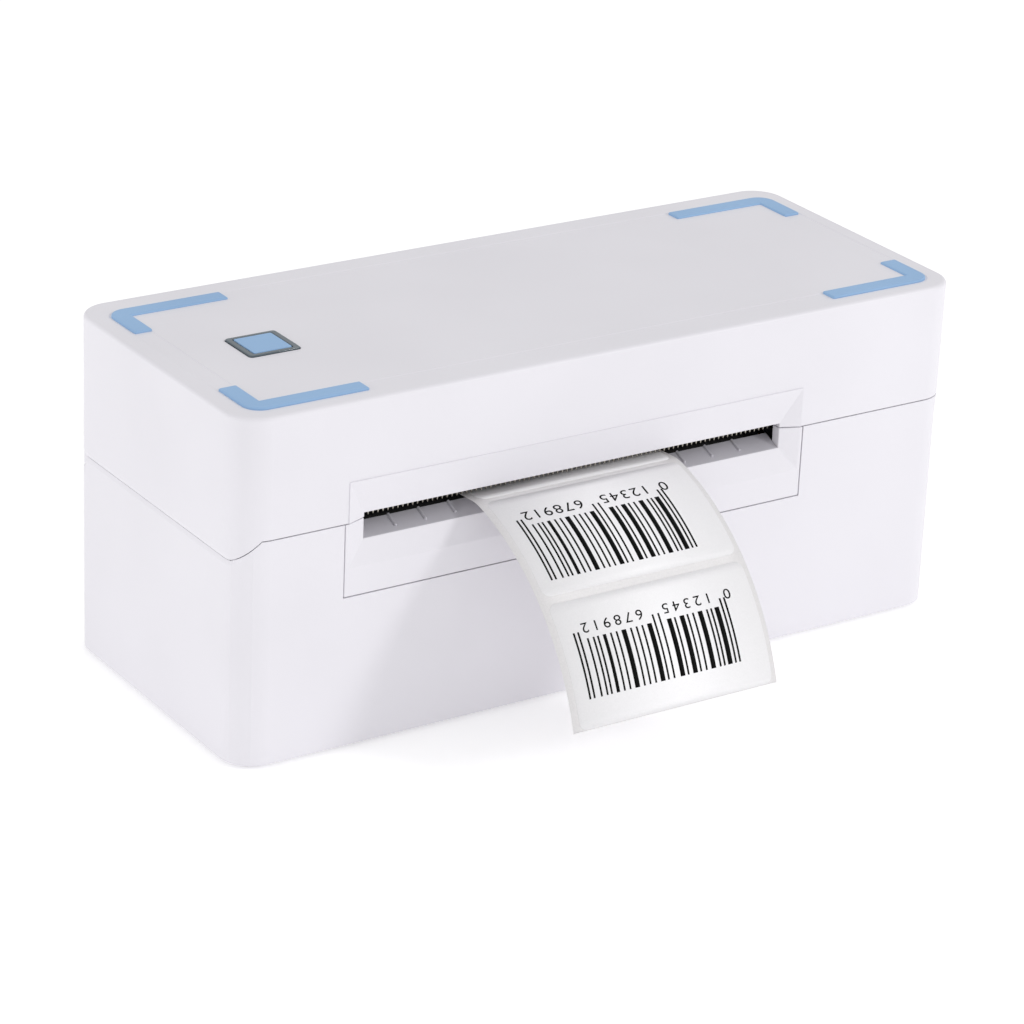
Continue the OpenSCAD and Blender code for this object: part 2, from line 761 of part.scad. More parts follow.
module top_cover() {
    color("whitesmoke") difference() {
        union() {
            difference() {
                prism(0, side_seam_z - 5, body_h);
                prism(wall, 0, ceiling_z);
                block(-far, far, -far, far, 0, side_seam_z + half_gap);
                seam_step(half_gap);
            }
            intersection() {
                prism(0, side_seam_z - 5, body_h);
                rod_x(-far, far, hinge_y, hinge_z, roll_r);
            }
            block(slot_x0 - 3, slot_x1 + 3, -in_y - 0.5, tear_y0, slot_top_z, funnel_top_z + 1);
            lid_posts() post(0, 0, holder_z0 + holder_t, ceiling_z + 1, post_r);
            button_posts() post(0, 0, button_board_z1, ceiling_z + 1, 3);
        }
        funnel(50, funnel_top_z, slot_top_z);
        block(slot_x0, slot_x1, -far, -in_y + 1, 50, slot_top_z);
        both_sides() {
            rod_x(ear_x0 - 0.3, ear_x1 + 0.3, hinge_y, hinge_z, roll_r + roll_clear);
            rod_x(pin_window_x, ear_x1, hinge_y, hinge_z, hinge_pin_r + fit);
            block(pin_window_x, 79, hinge_y - far, hinge_y + 0.5, hinge_z - far, hinge_z + roll_r + 0.5);
        }
        translate([0, 0, body_h - pad_sunk]) linear_extrude(2) pad_outline(0.1);
        block(key_x - frame_w / 2 - 0.1, key_x + frame_w / 2 + 0.1, key_y - frame_d / 2 - 0.1,
            key_y + frame_d / 2 + 0.1, body_h - 0.8, far);
        block(key_x - 6, key_x + 6, key_y - 5.9, key_y + 5.9, ceiling_z - 1, far);
        lid_posts() post(0, 0, 60, ceiling_z - 3, screw_r + hold);
        button_posts() post(0, 0, 60, ceiling_z, 1 + hold);
        tear_screw_places() rod_y(-40.4, tear_y0 + 1, 0, 0, 1 + hold);
    }
}

module corner_pads() {
    color("lightsteelblue") translate([0, 0, body_h - pad_sunk])
        linear_extrude(pad_sunk + pad_proud) pad_outline(0);
}

module button_frame() {
    color("darkslategray") difference() {
        union() {
            block(key_x - frame_w / 2, key_x + frame_w / 2, key_y - frame_d / 2, key_y + frame_d / 2,
                body_h - 0.8, frame_top_z);
            block(key_x - 5.9, key_x + 5.9, key_y - 5.8, key_y + 5.8, ceiling_z - 1, body_h);
        }
        block(key_x - key_w / 2 - 0.2, key_x + key_w / 2 + 0.2, key_y - key_w / 2 - 0.2,
            key_y + key_w / 2 + 0.2, 0, far);
    }
}

module feed_button() {
    color("lightsteelblue") {
        block(key_x - key_w / 2, key_x + key_w / 2, key_y - key_w / 2, key_y + key_w / 2,
            ceiling_z - 2.2, key_top_z);
        block(key_x - 6.2, key_x + 6.2, key_y - 6.2, key_y + 6.2, ceiling_z - 3.2, ceiling_z - 1.2);
        post(key_x, key_y, ceiling_z - 4, ceiling_z - 3, 2);
    }
}

module button_board() {
    color("seagreen") difference() {
        union() {
            block(key_x - 20, key_x + 20, key_y - 8, key_y + 8, button_board_z1 - board_t, button_board_z1);
            block(key_x - 3, key_x + 3, key_y - 3, key_y + 3, button_board_z1, switch_z1);
        }
        button_posts() post(0, 0, 0, far, 1.15);
    }
    color("black") post(key_x, key_y, switch_z1, ceiling_z - 4 - key_travel - 0.1, 1.6);
}

module button_board_screws() {
    color("silver") button_posts() {
        post(0, 0, button_board_z1 - board_t, 82, 1);
        post(0, 0, button_board_z1 - board_t - 1.2, button_board_z1 - board_t, 2);
    }
}

module head_holder() {
    x0 = lane_x - holder_half;
    x1 = lane_x + holder_half;
    color("silver") difference() {
        union() {
            block(x0, x1, -35, -9.5, holder_z0, holder_z0 + holder_t);
            block(x0, x0 + 1.4, -35, -11, 58, holder_z0 + 0.5);
            block(x1 - 1.4, x1, -35, -11, 58, holder_z0 + 0.5);
        }
        lid_posts() post(0, 0, 0, far, screw_r + 0.15);
        head_pin_places() post(0, 0, 0, far, 1.5 + fit);
        block(6, 14, -28, -16, 0, far);
    }
}

module holder_screws() {
    color("silver") lid_posts() screw(holder_z0, 9, 1.6);
}

module head_pin_places() {
    for (sx = [-1, 1]) translate([lane_x + 18 * sx, head_y, 0]) children();
}

// The wire of a coil spring: a tube swept along a helix
module coil(x, y, z0, z1, r, wire_r, turns) {
    sides = 8;
    steps = turns * 12;
    points = [for (i = [0:steps], k = [0:sides - 1]) let (
        a = 360 * i * turns / steps, w = 360 * k / sides, rr = r + wire_r * cos(w)) [
        x + rr * cos(a), y + rr * sin(a), z0 + wire_r + (z1 - z0 - 2 * wire_r) * i / steps + wire_r * sin(w)]];
    walls = [for (i = [0:steps - 1], k = [0:sides - 1]) let (n = (k + 1) % sides) [
        i * sides + k, (i + 1) * sides + k, (i + 1) * sides + n, i * sides + n]];
    start = [for (k = [0:sides - 1]) k];
    end = [for (k = [sides - 1:-1:0]) steps * sides + k];
    polyhedron(points, concat([start], walls, [end]));
}

module head_springs() {
    color("silver") for (sx = [-1, 1])
        coil(lane_x + spring_x * sx, head_y, sink_z0 + sink_h + 0.1, holder_z0 - 0.1, 2.6, 0.25, 4);
}

module tear_bar() {
    teeth = floor((slot_w - 1) / tooth_pitch);
    x0 = lane_x - teeth * tooth_pitch / 2;
    color("silver") difference() {
        along_y(tear_y0, tear_y0 + tear_t) polygon(concat(
            [[x0, tear_top_z], [x0, tear_tip_z + tooth_h]],
            [for (i = [0:teeth - 1]) each [
                [x0 + (i + 0.3) * tooth_pitch, tear_tip_z + tooth_h], [x0 + (i + 0.5) * tooth_pitch, tear_tip_z],
                [x0 + (i + 0.7) * tooth_pitch, tear_tip_z + tooth_h]]],
            [[x0 + teeth * tooth_pitch, tear_tip_z + tooth_h], [x0 + teeth * tooth_pitch, tear_top_z]]));
        tear_screw_places() rod_y(-far, far, 0, 0, 1.15);
    }
}

module tear_screw_places() {
    for (x = [-50, 0, 50]) translate([lane_x + x, 0, tear_screw_z]) children();
}

module tear_bar_screws() {
    color("silver") tear_screw_places() {
        rod_y(-39.9, tear_y0 + tear_t, 0, 0, 1);
        rod_y(tear_y0 + tear_t, tear_y0 + tear_t + 0.9, 0, 0, 1.9);
    }
}

module strike_pins() {
    color("silver") both_sides() rod_x(latch_x0 - 0.5, in_x, strike_y, strike_z, strike_r);
}

// ---- Print head ----

module heater_strip() {
    color("sienna") block(lane_x - head_half, lane_x + head_half, head_y0 + 0.5, head_y1 - 6,
        heater_z0, heater_z0 + heater_t);
}

module heat_sink() {
    z1 = sink_z0 + sink_h;
    color("silver") difference() {
        block(lane_x - head_half - 0.5, lane_x + head_half + 0.5, head_y0, head_y1, sink_z0, z1);
        for (y = [head_y0 + 2.5:3.2:head_y1 - 2])
            if (abs(y - head_y) > 3.6) block(-far, far, y - 0.8, y + 0.8, z1 - 3.5, z1 + 1);
        head_pin_places() post(0, 0, z1 - 4, far, 1.5 + hold);
    }
}

module head_guide_pins() {
    color("silver") head_pin_places() {
        post(0, 0, sink_z0 + sink_h - 4, holder_z0 + holder_t + 1, 1.5);
        post(0, 0, holder_z0 + holder_t + 0.1, holder_z0 + holder_t + 1.4, 3);
    }
}

// ---- Rollers and gears ----

platen_phase = 0;
small_phase = mate_phase(platen_teeth, platen_phase, idler_small_teeth, small_deg);
large_phase = 0;
motor_phase = mate_phase(idler_large_teeth, large_phase, motor_teeth, large_deg);

module platen_shaft() {
    color("silver") rod_x(lane_x - plate_in - plate_t - 1, gear_x1 + 0.6, platen_y, platen_z, shaft_r);
}

module platen_rubber() {
    color("black") difference() {
        rod_x(lane_x - roller_half, lane_x + roller_half, platen_y, platen_z, platen_r);
        rod_x(-far, far, platen_y, platen_z, shaft_r);
    }
}

module platen_gear() {
    color("ivory") difference() {
        translate([0, platen_y, platen_z]) along_x(gear_x0, gear_x1)
            gear_outline(platen_teeth, gear_m, platen_phase);
        rod_x(0, far, platen_y, platen_z, shaft_r);
    }
}

module idler_gear() {
    color("ivory") difference() {
        translate([0, idler_y, idler_z]) {
            along_x(gear_x0, wheel_x0 + 0.1) gear_outline(idler_small_teeth, gear_m, small_phase);
            along_x(wheel_x0, wheel_x1) gear_outline(idler_large_teeth, gear_m, large_phase);
        }
        rod_x(0, far, idler_y, idler_z, hinge_pin_r + fit);
    }
}

module motor_shaft() {
    color("silver") rod_x(wheel_x0 - 0.6, bracket_x0 + 0.3, motor_y, motor_z, 1.5);
}

module motor_pinion() {
    color("goldenrod") difference() {
        translate([0, motor_y, motor_z]) along_x(wheel_x0 - 0.3, wheel_x1 + 0.4)
            gear_outline(motor_teeth, gear_m, motor_phase);
        rod_x(0, far, motor_y, motor_z, 1.5);
    }
}

// ---- Paper guides ----

// A rack along X with its pitch line at z = 0 and its teeth pointing down; a gap is at x = 0
module rack_outline(x0, x1) {
    pitch = PI * rack_m;
    first = ceil((x0 + pitch) / pitch);
    last = floor((x1 - pitch) / pitch);
    polygon(concat(
        [[x0, rack_t], [x0, 1.15 * rack_m]],
        [for (i = [first:last]) let (c = (i + 0.5) * pitch) if (c + pitch / 2 < x1) each [
            [c - 0.36 * pitch, 1.15 * rack_m], [c - 0.1 * pitch, -0.8 * rack_m],
            [c + 0.1 * pitch, -0.8 * rack_m], [c + 0.36 * pitch, 1.15 * rack_m]]],
        [[x1, 1.15 * rack_m], [x1, rack_t]]));
}

// The guide's upright wall, which follows the sloping deck
module guide_wall(x0, x1) {
    lift = 0.25;
    top = 9;
    y0 = -8.5;
    y1 = 33;
    along_x(x0, x1) polygon([
        [y0, deck_height(y0) + lift], [y1, deck_height(y1) + lift],
        [y1, deck_height(y1) + top - 3], [y1 - 5, deck_height(y1 - 5) + top],
        [y0 + 5, deck_height(y0 + 5) + top], [y0, deck_height(y0) + top - 3]]);
}

function deck_height(y) = deck_back_z + (deck_back_y - y) * deck_slope;

module left_guide() {
    x = lane_x - guide_gap;
    z = guide_pinion_z + rack_pitch_r;
    color("dimgray") {
        guide_wall(x - 2, x);
        block(x - 4, x, 17.5, 20.9, z + 1.2, deck_height(20.9) + 2);
        translate([lane_x, 0, z]) along_y(rack_y0, rack_y1) rack_outline(-guide_gap - 4, 36);
    }
}

module right_guide() {
    x = lane_x + guide_gap;
    z = guide_pinion_z - rack_pitch_r;
    color("dimgray") {
        guide_wall(x, x + 2);
        block(x, x + 4, 23.2, 26, z - rack_t, deck_height(26) + 2);
        block(x, x + 4, rack_y0, 26, z - rack_t, z - 1.2);
        translate([lane_x, 0, z]) rotate([0, 180, 0]) along_y(rack_y0, rack_y1)
            rack_outline(-guide_gap - 4, 36);
    }
}

module guide_pinion() {
    color("ivory") difference() {
        translate([lane_x, 0, guide_pinion_z]) along_y(rack_y0, rack_y1)
            gear_outline(rack_teeth, rack_m, 90);
        rod_y(-far, far, lane_x, guide_pinion_z, guide_axle_r + fit);
    }
}

lower_case();
bottom_plate();
rubber_feet();
case_screws();
front_bezel();
chassis();
chassis_screws();
platen_bushes();
stepper_motor();
motor_bracket();
bracket_screws();
idler_axle();
guide_axle();
main_board();
board_screws();
usb_socket();
power_socket();
switch_housing();
gap_sensor();
latch_springs();
latch_screws();
hinge_pins();
label_liner();
labels();
head_cable();
top_cover();
corner_pads();
button_frame();
button_board();
button_board_screws();
head_holder();
holder_screws();
head_springs();
tear_bar();
tear_bar_screws();
strike_pins();
heat_sink();
heater_strip();
head_guide_pins();
feed_button();
platen_shaft();
platen_rubber();
platen_gear();
idler_gear();
motor_shaft();
motor_pinion();
left_guide();
right_guide();
guide_pinion();
power_rocker();
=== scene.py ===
import math

import bmesh
import bpy
from mathutils import Matrix, Quaternion, Vector


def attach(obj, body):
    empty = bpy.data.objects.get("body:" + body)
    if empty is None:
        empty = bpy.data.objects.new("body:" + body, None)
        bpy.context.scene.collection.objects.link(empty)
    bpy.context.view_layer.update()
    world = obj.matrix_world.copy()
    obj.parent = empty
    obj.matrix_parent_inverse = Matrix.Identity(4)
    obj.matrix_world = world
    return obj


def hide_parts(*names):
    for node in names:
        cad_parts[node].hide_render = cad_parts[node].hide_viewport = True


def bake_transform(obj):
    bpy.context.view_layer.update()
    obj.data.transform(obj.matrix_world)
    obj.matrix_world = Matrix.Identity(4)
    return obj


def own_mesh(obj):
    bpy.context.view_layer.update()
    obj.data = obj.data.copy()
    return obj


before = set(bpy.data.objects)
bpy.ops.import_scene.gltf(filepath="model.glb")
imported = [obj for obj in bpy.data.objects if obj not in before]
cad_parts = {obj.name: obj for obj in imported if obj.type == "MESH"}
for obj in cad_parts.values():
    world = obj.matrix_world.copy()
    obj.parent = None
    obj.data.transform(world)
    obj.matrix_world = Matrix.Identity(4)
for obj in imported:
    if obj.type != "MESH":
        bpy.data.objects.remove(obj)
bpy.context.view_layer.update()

# ---- Camera ----
# A long lens stands to the left of the printer and a little above it, almost a metre away.
# Its head leans a touch to the left.
aim = Vector((-0.00373, -0.00383, 0.03228))
distance = 0.96155
swing, climb, lean = math.radians(-33.917), math.radians(23.294), math.radians(2.518)
back = Vector((
    math.sin(swing) * math.cos(climb), -math.cos(swing) * math.cos(climb), math.sin(climb)))
camera = bpy.data.objects.new("camera", bpy.data.cameras.new("camera"))
bpy.context.collection.objects.link(camera)
camera.location = aim + distance * back
camera.rotation_mode = "QUATERNION"
camera.rotation_quaternion = back.to_track_quat("Z", "Y") @ Quaternion((0, 0, 1), lean)
camera.data.sensor_width = 36
camera.data.lens = 136.03
bpy.context.scene.camera = camera
bpy.context.scene.view_settings.view_transform = "Standard"

# ---- Lower case ----
# An open-topped box injection moulded in white ABS with walls of 2.2 mm. Its rim is the seam:
# high along the front, then down a slope at the corner to the hinge's height at the sides.
case_w, case_d, corner_r, wall = 205, 83, 8.3, 2.2
case_bottom, drawn_height = 1, 70
rim_front, rim_side, rim_hinge = 57.65, 52.17, 48.2
jog_left, jog_right = -96.5, -20
hinge_y, hinge_z, roll_room = 38, 52.2, 3.9
bezel_x0, bezel_x1, bezel_bottom, bezel_gap = -74.7, 56.1, 39.4, 0.25
front_wall, back_wall = (-42, -41), (41, 42)
lean_height, lean_in = 1.1, 0.3
soft_angle = 9.6  # edges of the shells that turn by more degrees than this are rounded


def linear(code):
    """A colour as the shaders want it, from its sRGB hex code"""
    parts = [int(code[i:i + 2], 16) / 255 for i in (0, 2, 4)]
    return [c / 12.92 if c <= 0.04045 else ((c + 0.055) / 1.055) ** 2.4 for c in parts] + [1]


def add_node(tree, kind, settings, links=()):
    """Adds a shader node: settings name its sockets or properties, links are (socket, source)"""
    made = tree.nodes.new("ShaderNode" + kind)
    for key, value in settings.items():
        if isinstance(key, int) or key in made.inputs:
            made.inputs[key].default_value = value
        else:
            setattr(made, key, value)
    for socket, source in links:
        tree.links.new(source, made.inputs[socket])
    return made


def new_finish(name):
    """An empty material with its tree and its place coordinates, which are in metres"""
    finish = bpy.data.materials.new(name)
    finish.use_nodes = True
    tree = finish.node_tree
    tree.nodes.clear()
    return finish, tree, add_node(tree, "TexCoord", {}).outputs["Object"]


def close_finish(tree, shader):
    add_node(tree, "OutputMaterial", {}, [("Surface", shader.outputs[0])])


def moulded(name, light, dark, roughness, grain_mm, depth_mm, specular=0.5, ior=1.5):
    """Moulded plastic or rubber: two close tones in broad clouds and the mould's fine texture"""
    finish, tree, place = new_finish(name)
    cloud = add_node(tree, "TexNoise", {"Scale": 22, "Detail": 2}, [("Vector", place)])
    tone = add_node(tree, "ValToRGB", {}, [("Fac", cloud.outputs["Fac"])])
    tone.color_ramp.elements[0].position, tone.color_ramp.elements[0].color = 0.35, linear(dark)
    tone.color_ramp.elements[1].position, tone.color_ramp.elements[1].color = 0.65, linear(light)
    grain = add_node(tree, "TexNoise", {"Scale": 1000 / grain_mm, "Detail": 3, "Roughness": 0.6},
                     [("Vector", place)])
    rub = add_node(tree, "MapRange", {"To Min": roughness - 0.05, "To Max": roughness + 0.05},
                   [("Value", grain.outputs["Fac"])])
    bump = add_node(tree, "Bump", {"Strength": 0.6, "Distance": depth_mm / 1000},
                    [("Height", grain.outputs["Fac"])])
    shader = add_node(tree, "BsdfPrincipled", {"Specular IOR Level": specular, "IOR": ior}, [
        ("Base Color", tone.outputs["Color"]), ("Roughness", rub.outputs["Result"]),
        ("Normal", bump.outputs["Normal"])])
    close_finish(tree, shader)
    return finish


def rounded_plate(mesh, x0, x1, y0, y1, r, z, segments=12):
    """A level face with round corners"""
    made = bmesh.ops.create_grid(mesh, x_segments=1, y_segments=1, size=0.5)["verts"]
    bmesh.ops.scale(mesh, vec=(x1 - x0, y1 - y0, 1), verts=made)
    bmesh.ops.translate(mesh, vec=((x0 + x1) / 2, (y0 + y1) / 2, z), verts=made)
    face = made[0].link_faces[0]
    bmesh.ops.bevel(mesh, geom=made, offset=r, offset_type="OFFSET", segments=segments,
                    profile=0.5, affect="VERTICES", material=-1)
    return next(f for f in mesh.faces if abs(f.calc_center_median().z - z) < 1e-4
                and abs(f.calc_center_median().x - (x0 + x1) / 2) < 1e-3
                and len(f.verts) >= 4 * segments)


def shift_new(mesh, made, offset):
    """Moves the corners of what was just drawn out"""
    bmesh.ops.translate(mesh, vec=offset,
                        verts=[g for g in made if isinstance(g, bmesh.types.BMVert)])


def grow(mesh, edges, offset):
    """Draws edges out by an offset and returns the new edges"""
    made = bmesh.ops.extrude_edge_only(mesh, edges=edges)["geom"]
    shift_new(mesh, made, offset)
    return [g for g in made if isinstance(g, bmesh.types.BMEdge)]


def cut(mesh, point, normal, low=(-999, -999, -999), high=(999, 999, 999)):
    """Splits along a plane the faces whose middles lie between two corners"""
    faces = [f for f in mesh.faces
             if all(a <= c <= b for a, c, b in zip(low, f.calc_center_median(), high))]
    parts = dict.fromkeys(faces)  # each part once, in an order that is the same every run
    for face in faces:
        parts.update(dict.fromkeys([*face.edges, *face.verts]))
    bmesh.ops.bisect_plane(mesh, geom=list(parts), plane_co=point, plane_no=normal, dist=0.001)


def open_window(mesh, x0, x1, z0, z1, y0, y1):
    """Cuts an upright rectangle out of a front or back wall that lies between y0 and y1"""
    low, high = (-999, y0, -999), (999, y1, 999)
    for x in (x0, x1):
        cut(mesh, (x, 0, 0), (1, 0, 0), low, high)
    for z in (z0, z1):
        cut(mesh, (0, 0, z), (0, 0, 1), low, high)
    inside = [f for f in mesh.faces if x0 < f.calc_center_median().x < x1
              and y0 < f.calc_center_median().y < y1 and z0 < f.calc_center_median().z < z1]
    bmesh.ops.delete(mesh, geom=inside, context="FACES")


def put_in_order(mesh):
    """Numbers the parts of a shape by place, so that every run gives the same mesh"""
    slant = Vector((0.8123, 0.4271, 0.3977))  # no two parts are equally far along it
    mesh.verts.sort(key=lambda v: slant.dot(v.co))
    mesh.edges.sort(key=lambda e: slant.dot(e.verts[0].co + e.verts[1].co))
    mesh.faces.sort(key=lambda f: slant.dot(f.calc_center_median()))


def new_object(name, mesh, finish):
    """Turns a shape drawn in millimetres into an object at the origin"""
    put_in_order(mesh)
    bmesh.ops.scale(mesh, vec=(0.001, 0.001, 0.001), verts=mesh.verts)
    data = bpy.data.meshes.new(name)
    mesh.to_mesh(data)
    mesh.free()
    data.materials.append(finish)
    made = bpy.data.objects.new(name, data)
    bpy.context.collection.objects.link(made)
    return made


def add_piece(name, mesh, finish, body, thickness=0, soften=0, stands_for=(), angle=35):
    """Makes a finished piece on a body, with walls of a thickness and softened edges"""
    piece = new_object(name, mesh, finish)
    piece.data.shade_smooth()
    if thickness:
        skin = piece.modifiers.new("wall", "SOLIDIFY")
        skin.thickness, skin.offset, skin.use_even_offset = thickness / 1000, -1, True
    if soften:
        edge = piece.modifiers.new("edges", "BEVEL")
        edge.width, edge.segments, edge.limit_method = soften / 1000, 3, "ANGLE"
        edge.angle_limit, edge.harden_normals = math.radians(angle), True
    else:
        piece.data.set_sharp_from_angle(angle=math.radians(angle))
    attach(piece, body)
    if stands_for:
        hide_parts(*stands_for)
    return piece


def rim_height(x, y, front, side):
    """Height of the seam over a point of the outline, from its front and side heights"""
    return max(min(front, front + x - jog_left, front + jog_right - y), side)


def cut_seam(mesh, front, side):
    """Splits the case's walls all along the seam"""
    for z in (side, front):
        cut(mesh, (0, 0, z), (0, 0, 1))
    cut(mesh, (jog_left, 0, front), (-1, 0, 1), (-103, -42, side), (-94, -20, front))
    cut(mesh, (0, jog_right, front), (0, 1, 1), (94, -36, side), (103, 30, front))


def pinch_seam(mesh, z, lean_z):
    """Leans the last millimetre of the side walls inwards, which makes the seam's soft groove"""
    cut(mesh, (0, 0, lean_z), (0, 0, 1), (-103, -36, -999), (-94, 37, 999))
    cut(mesh, (0, 0, lean_z), (0, 0, 1), (94, -10, -999), (103, 37, 999))
    for v in mesh.verts:
        if abs(v.co.z - z) < 0.01 and abs(v.co.x) > 99 and v.co.y < hinge_y - 0.1:
            v.co.x -= math.copysign(lean_in, v.co.x)


# White ABS from a mould with a fine spark texture: satin, with a soft wide highlight.
white_abs = moulded("moulded white ABS", "e8e6ec", "e5e3e9", 0.42, 0.35, 0.012)

# The walls are drawn taller than the seam, and what stands above it is deleted.
shell = bmesh.new()
plate = rounded_plate(shell, -case_w / 2, case_w / 2, -case_d / 2, case_d / 2, corner_r,
                      case_bottom)
grow(shell, plate.edges, (0, 0, drawn_height))
bmesh.ops.delete(shell, geom=[plate], context="FACES_ONLY")
cut_seam(shell, rim_front, rim_side)
cut(shell, (0, 0, rim_hinge), (0, 0, 1), (-999, 30, 0), (999, 999, rim_side))
cut(shell, (0, hinge_y, 0), (0, 1, 0), (-999, 30, rim_hinge), (999, 999, rim_side))
for turn in range(190, 271, 20):  # the rolled edge of the lid swings in this hollow
    out = (0, math.cos(math.radians(turn)), math.sin(math.radians(turn)))
    cut(shell, (0, hinge_y + roll_room * out[1], hinge_z + roll_room * out[2]), out,
        (-999, 33, rim_hinge - 1), (999, hinge_y, rim_side))
gone = []
for face in shell.faces:
    c = face.calc_center_median()
    if (c.z > rim_height(c.x, c.y, rim_front, rim_side) or (c.y > hinge_y and c.z > rim_hinge)
            or math.hypot(c.y - hinge_y, c.z - hinge_z) < roll_room):
        gone.append(face)
bmesh.ops.delete(shell, geom=gone, context="FACES")
open_window(shell, bezel_x0 - bezel_gap, bezel_x1 + bezel_gap, bezel_bottom - bezel_gap, 99,
            *front_wall)
inlet_window, usb_window = (-69.8, 51.2, 34, 43), (59.7, 72.3, 8.6, 20.3)
power_window, switch_window = (76.7, 86.3, 8.6, 20.1), (68.2, 83.8, 27.4, 38.6)
for window in (inlet_window, usb_window, power_window, switch_window):
    open_window(shell, *window, *back_wall)
pinch_seam(shell, rim_side, rim_side - lean_height)
put_in_order(shell)
bmesh.ops.remove_doubles(shell, verts=shell.verts, dist=0.02)
bmesh.ops.recalc_face_normals(shell, faces=shell.faces)
add_piece("lower_case_shell", shell, white_abs, "base", wall, 0.2,
          ["lower_case"], soft_angle)

# ---- Posts inside the case ----
# Screw bosses, latch pillars and the two knuckles of the hinge, moulded with the case in the
# same white ABS. The hinge pins pass through the knuckles.
boss_x, boss_y, boss_r, boss_z0, boss_z1 = 95.5, 34.5, 4.5, 3.6, 30
pillar_x0, pillar_x1, pillar_y0, pillar_y1, pillar_top = 94.5, 100.8, -24, -20, 40
knuckle_x0, knuckle_x1, knuckle_r, knuckle_z0, knuckle_back = 88, 92, 3.4, 40, 39.8


def add_rod(mesh, start, end, r, segments=32, r_end=None):
    """A round bar between two points"""
    start, end = Vector(start), Vector(end)
    turn = (end - start).to_track_quat("Z", "Y").to_matrix().to_4x4()
    place = Matrix.Translation((start + end) / 2) @ turn
    return bmesh.ops.create_cone(mesh, cap_ends=True, segments=segments, radius1=r,
                                 radius2=r if r_end is None else r_end,
                                 depth=(end - start).length, matrix=place)["verts"]


def add_block(mesh, x0, x1, y0, y1, z0, z1):
    """A box between two corners"""
    size = Matrix.Diagonal((x1 - x0, y1 - y0, z1 - z0, 1))
    place = Matrix.Translation(((x0 + x1) / 2, (y0 + y1) / 2, (z0 + z1) / 2))
    return bmesh.ops.create_cube(mesh, size=1, matrix=place @ size)["verts"]


posts = bmesh.new()
for side in (-1, 1):
    for end in (-1, 1):
        x, y = boss_x * side, boss_y * end
        add_rod(posts, (x, y, boss_z0), (x, y, boss_z1), boss_r)
    x0, x1 = sorted((pillar_x0 * side, pillar_x1 * side))
    add_block(posts, x0, x1, pillar_y0, pillar_y1, boss_z0, pillar_top)
    x0, x1 = sorted((knuckle_x0 * side, knuckle_x1 * side))
    add_rod(posts, (x0, hinge_y, hinge_z), (x1, hinge_y, hinge_z), knuckle_r)
    add_block(posts, x0, x1, hinge_y - knuckle_r, hinge_y, knuckle_z0, hinge_z)
    add_block(posts, x0, x1, hinge_y - knuckle_r, knuckle_back, knuckle_z0, rim_hinge)
add_piece("case_posts", posts, white_abs, "base", soften=0.2)

# ---- Bottom plate, feet and screws ----
# A white ABS plate closes the case from below and carries the board posts. Four screws hold
# it, and four soft rubber feet are glued into its pockets.


def dress(finish, *nodes):
    """Gives CAD nodes their finish"""
    for name in nodes:
        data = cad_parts[name].data
        data.materials.clear()
        data.materials.append(finish)


def plated(name, light, dark, roughness, grain_mm, stretch, depth_mm=0.004):
    """A bare or plated metal with fine marks, drawn out along the axes whose stretch is small"""
    finish, tree, place = new_finish(name)
    mapped = add_node(tree, "Mapping", {"Scale": stretch}, [("Vector", place)])
    lines = add_node(tree, "TexNoise", {"Scale": 1000 / grain_mm, "Detail": 4, "Roughness": 0.65},
                     [("Vector", mapped.outputs["Vector"])])
    tone = add_node(tree, "ValToRGB", {}, [("Fac", lines.outputs["Fac"])])
    tone.color_ramp.elements[0].position, tone.color_ramp.elements[0].color = 0.3, linear(dark)
    tone.color_ramp.elements[1].position, tone.color_ramp.elements[1].color = 0.7, linear(light)
    rub = add_node(tree, "MapRange", {"To Min": roughness - 0.08, "To Max": roughness + 0.08},
                   [("Value", lines.outputs["Fac"])])
    bump = add_node(tree, "Bump", {"Strength": 0.5, "Distance": depth_mm / 1000},
                    [("Height", lines.outputs["Fac"])])
    shader = add_node(tree, "BsdfPrincipled", {"Metallic": 1}, [
        ("Base Color", tone.outputs["Color"]), ("Roughness", rub.outputs["Result"]),
        ("Normal", bump.outputs["Normal"])])
    close_finish(tree, shader)
    return finish


# Nickel on steel: bright, with faint turned marks.
nickel_steel = plated("nickel plated steel", "c9c7c2", "a9a7a3", 0.28, 0.4, (1, 1, 1))
# Soft black rubber: dull, with a fine grain.
foot_rubber = moulded("moulded foot rubber", "2c2c2e", "232325", 0.75, 0.3, 0.02, 0.3, 1.52)
dress(white_abs, "bottom_plate")
dress(foot_rubber, "rubber_feet")
dress(nickel_steel, "case_screws", "chassis_screws", "board_screws", "bracket_screws",
      "button_board_screws", "holder_screws", "tear_bar_screws", "latch_screws")

# ---- Front bezel ----
# A white ABS plate set into a window of the case. Its funnel leads down from the seam to the
# exit slot, and a ribbed slope behind the slot's lip lets the labels slide out.
funnel_x0, funnel_x1, funnel_bottom = -73.9, 55.3, 46.5
slot_x0, slot_x1, slot_bottom = -68.8, 50.2, 52.5
lip_y, cheek_y, slope_y, slope_z = -39.7, -37, -34.5, 54.7
front_y, bezel_wall = -case_d / 2, 1.8
lane_x = -9.3
web_x = lane_x - 0.5
rib_pitch, rib_len, rib_r, rib_end_r = 8.23, 3.7, 0.36, 0.44


def notch_edges(mesh, x0, x1, z0, z1, y):
    """The rim of a notch in an upright face, between two heights"""
    def lies_in(v):
        return (abs(v.co.y - y) < 0.01 and x0 - 0.01 < v.co.x < x1 + 0.01
                and z0 - 0.01 < v.co.z < z1 + 0.01)
    return [e for e in mesh.edges if e.is_boundary and all(lies_in(v) for v in e.verts)
            and not all(abs(v.co.z - z1) < 0.01 for v in e.verts)]


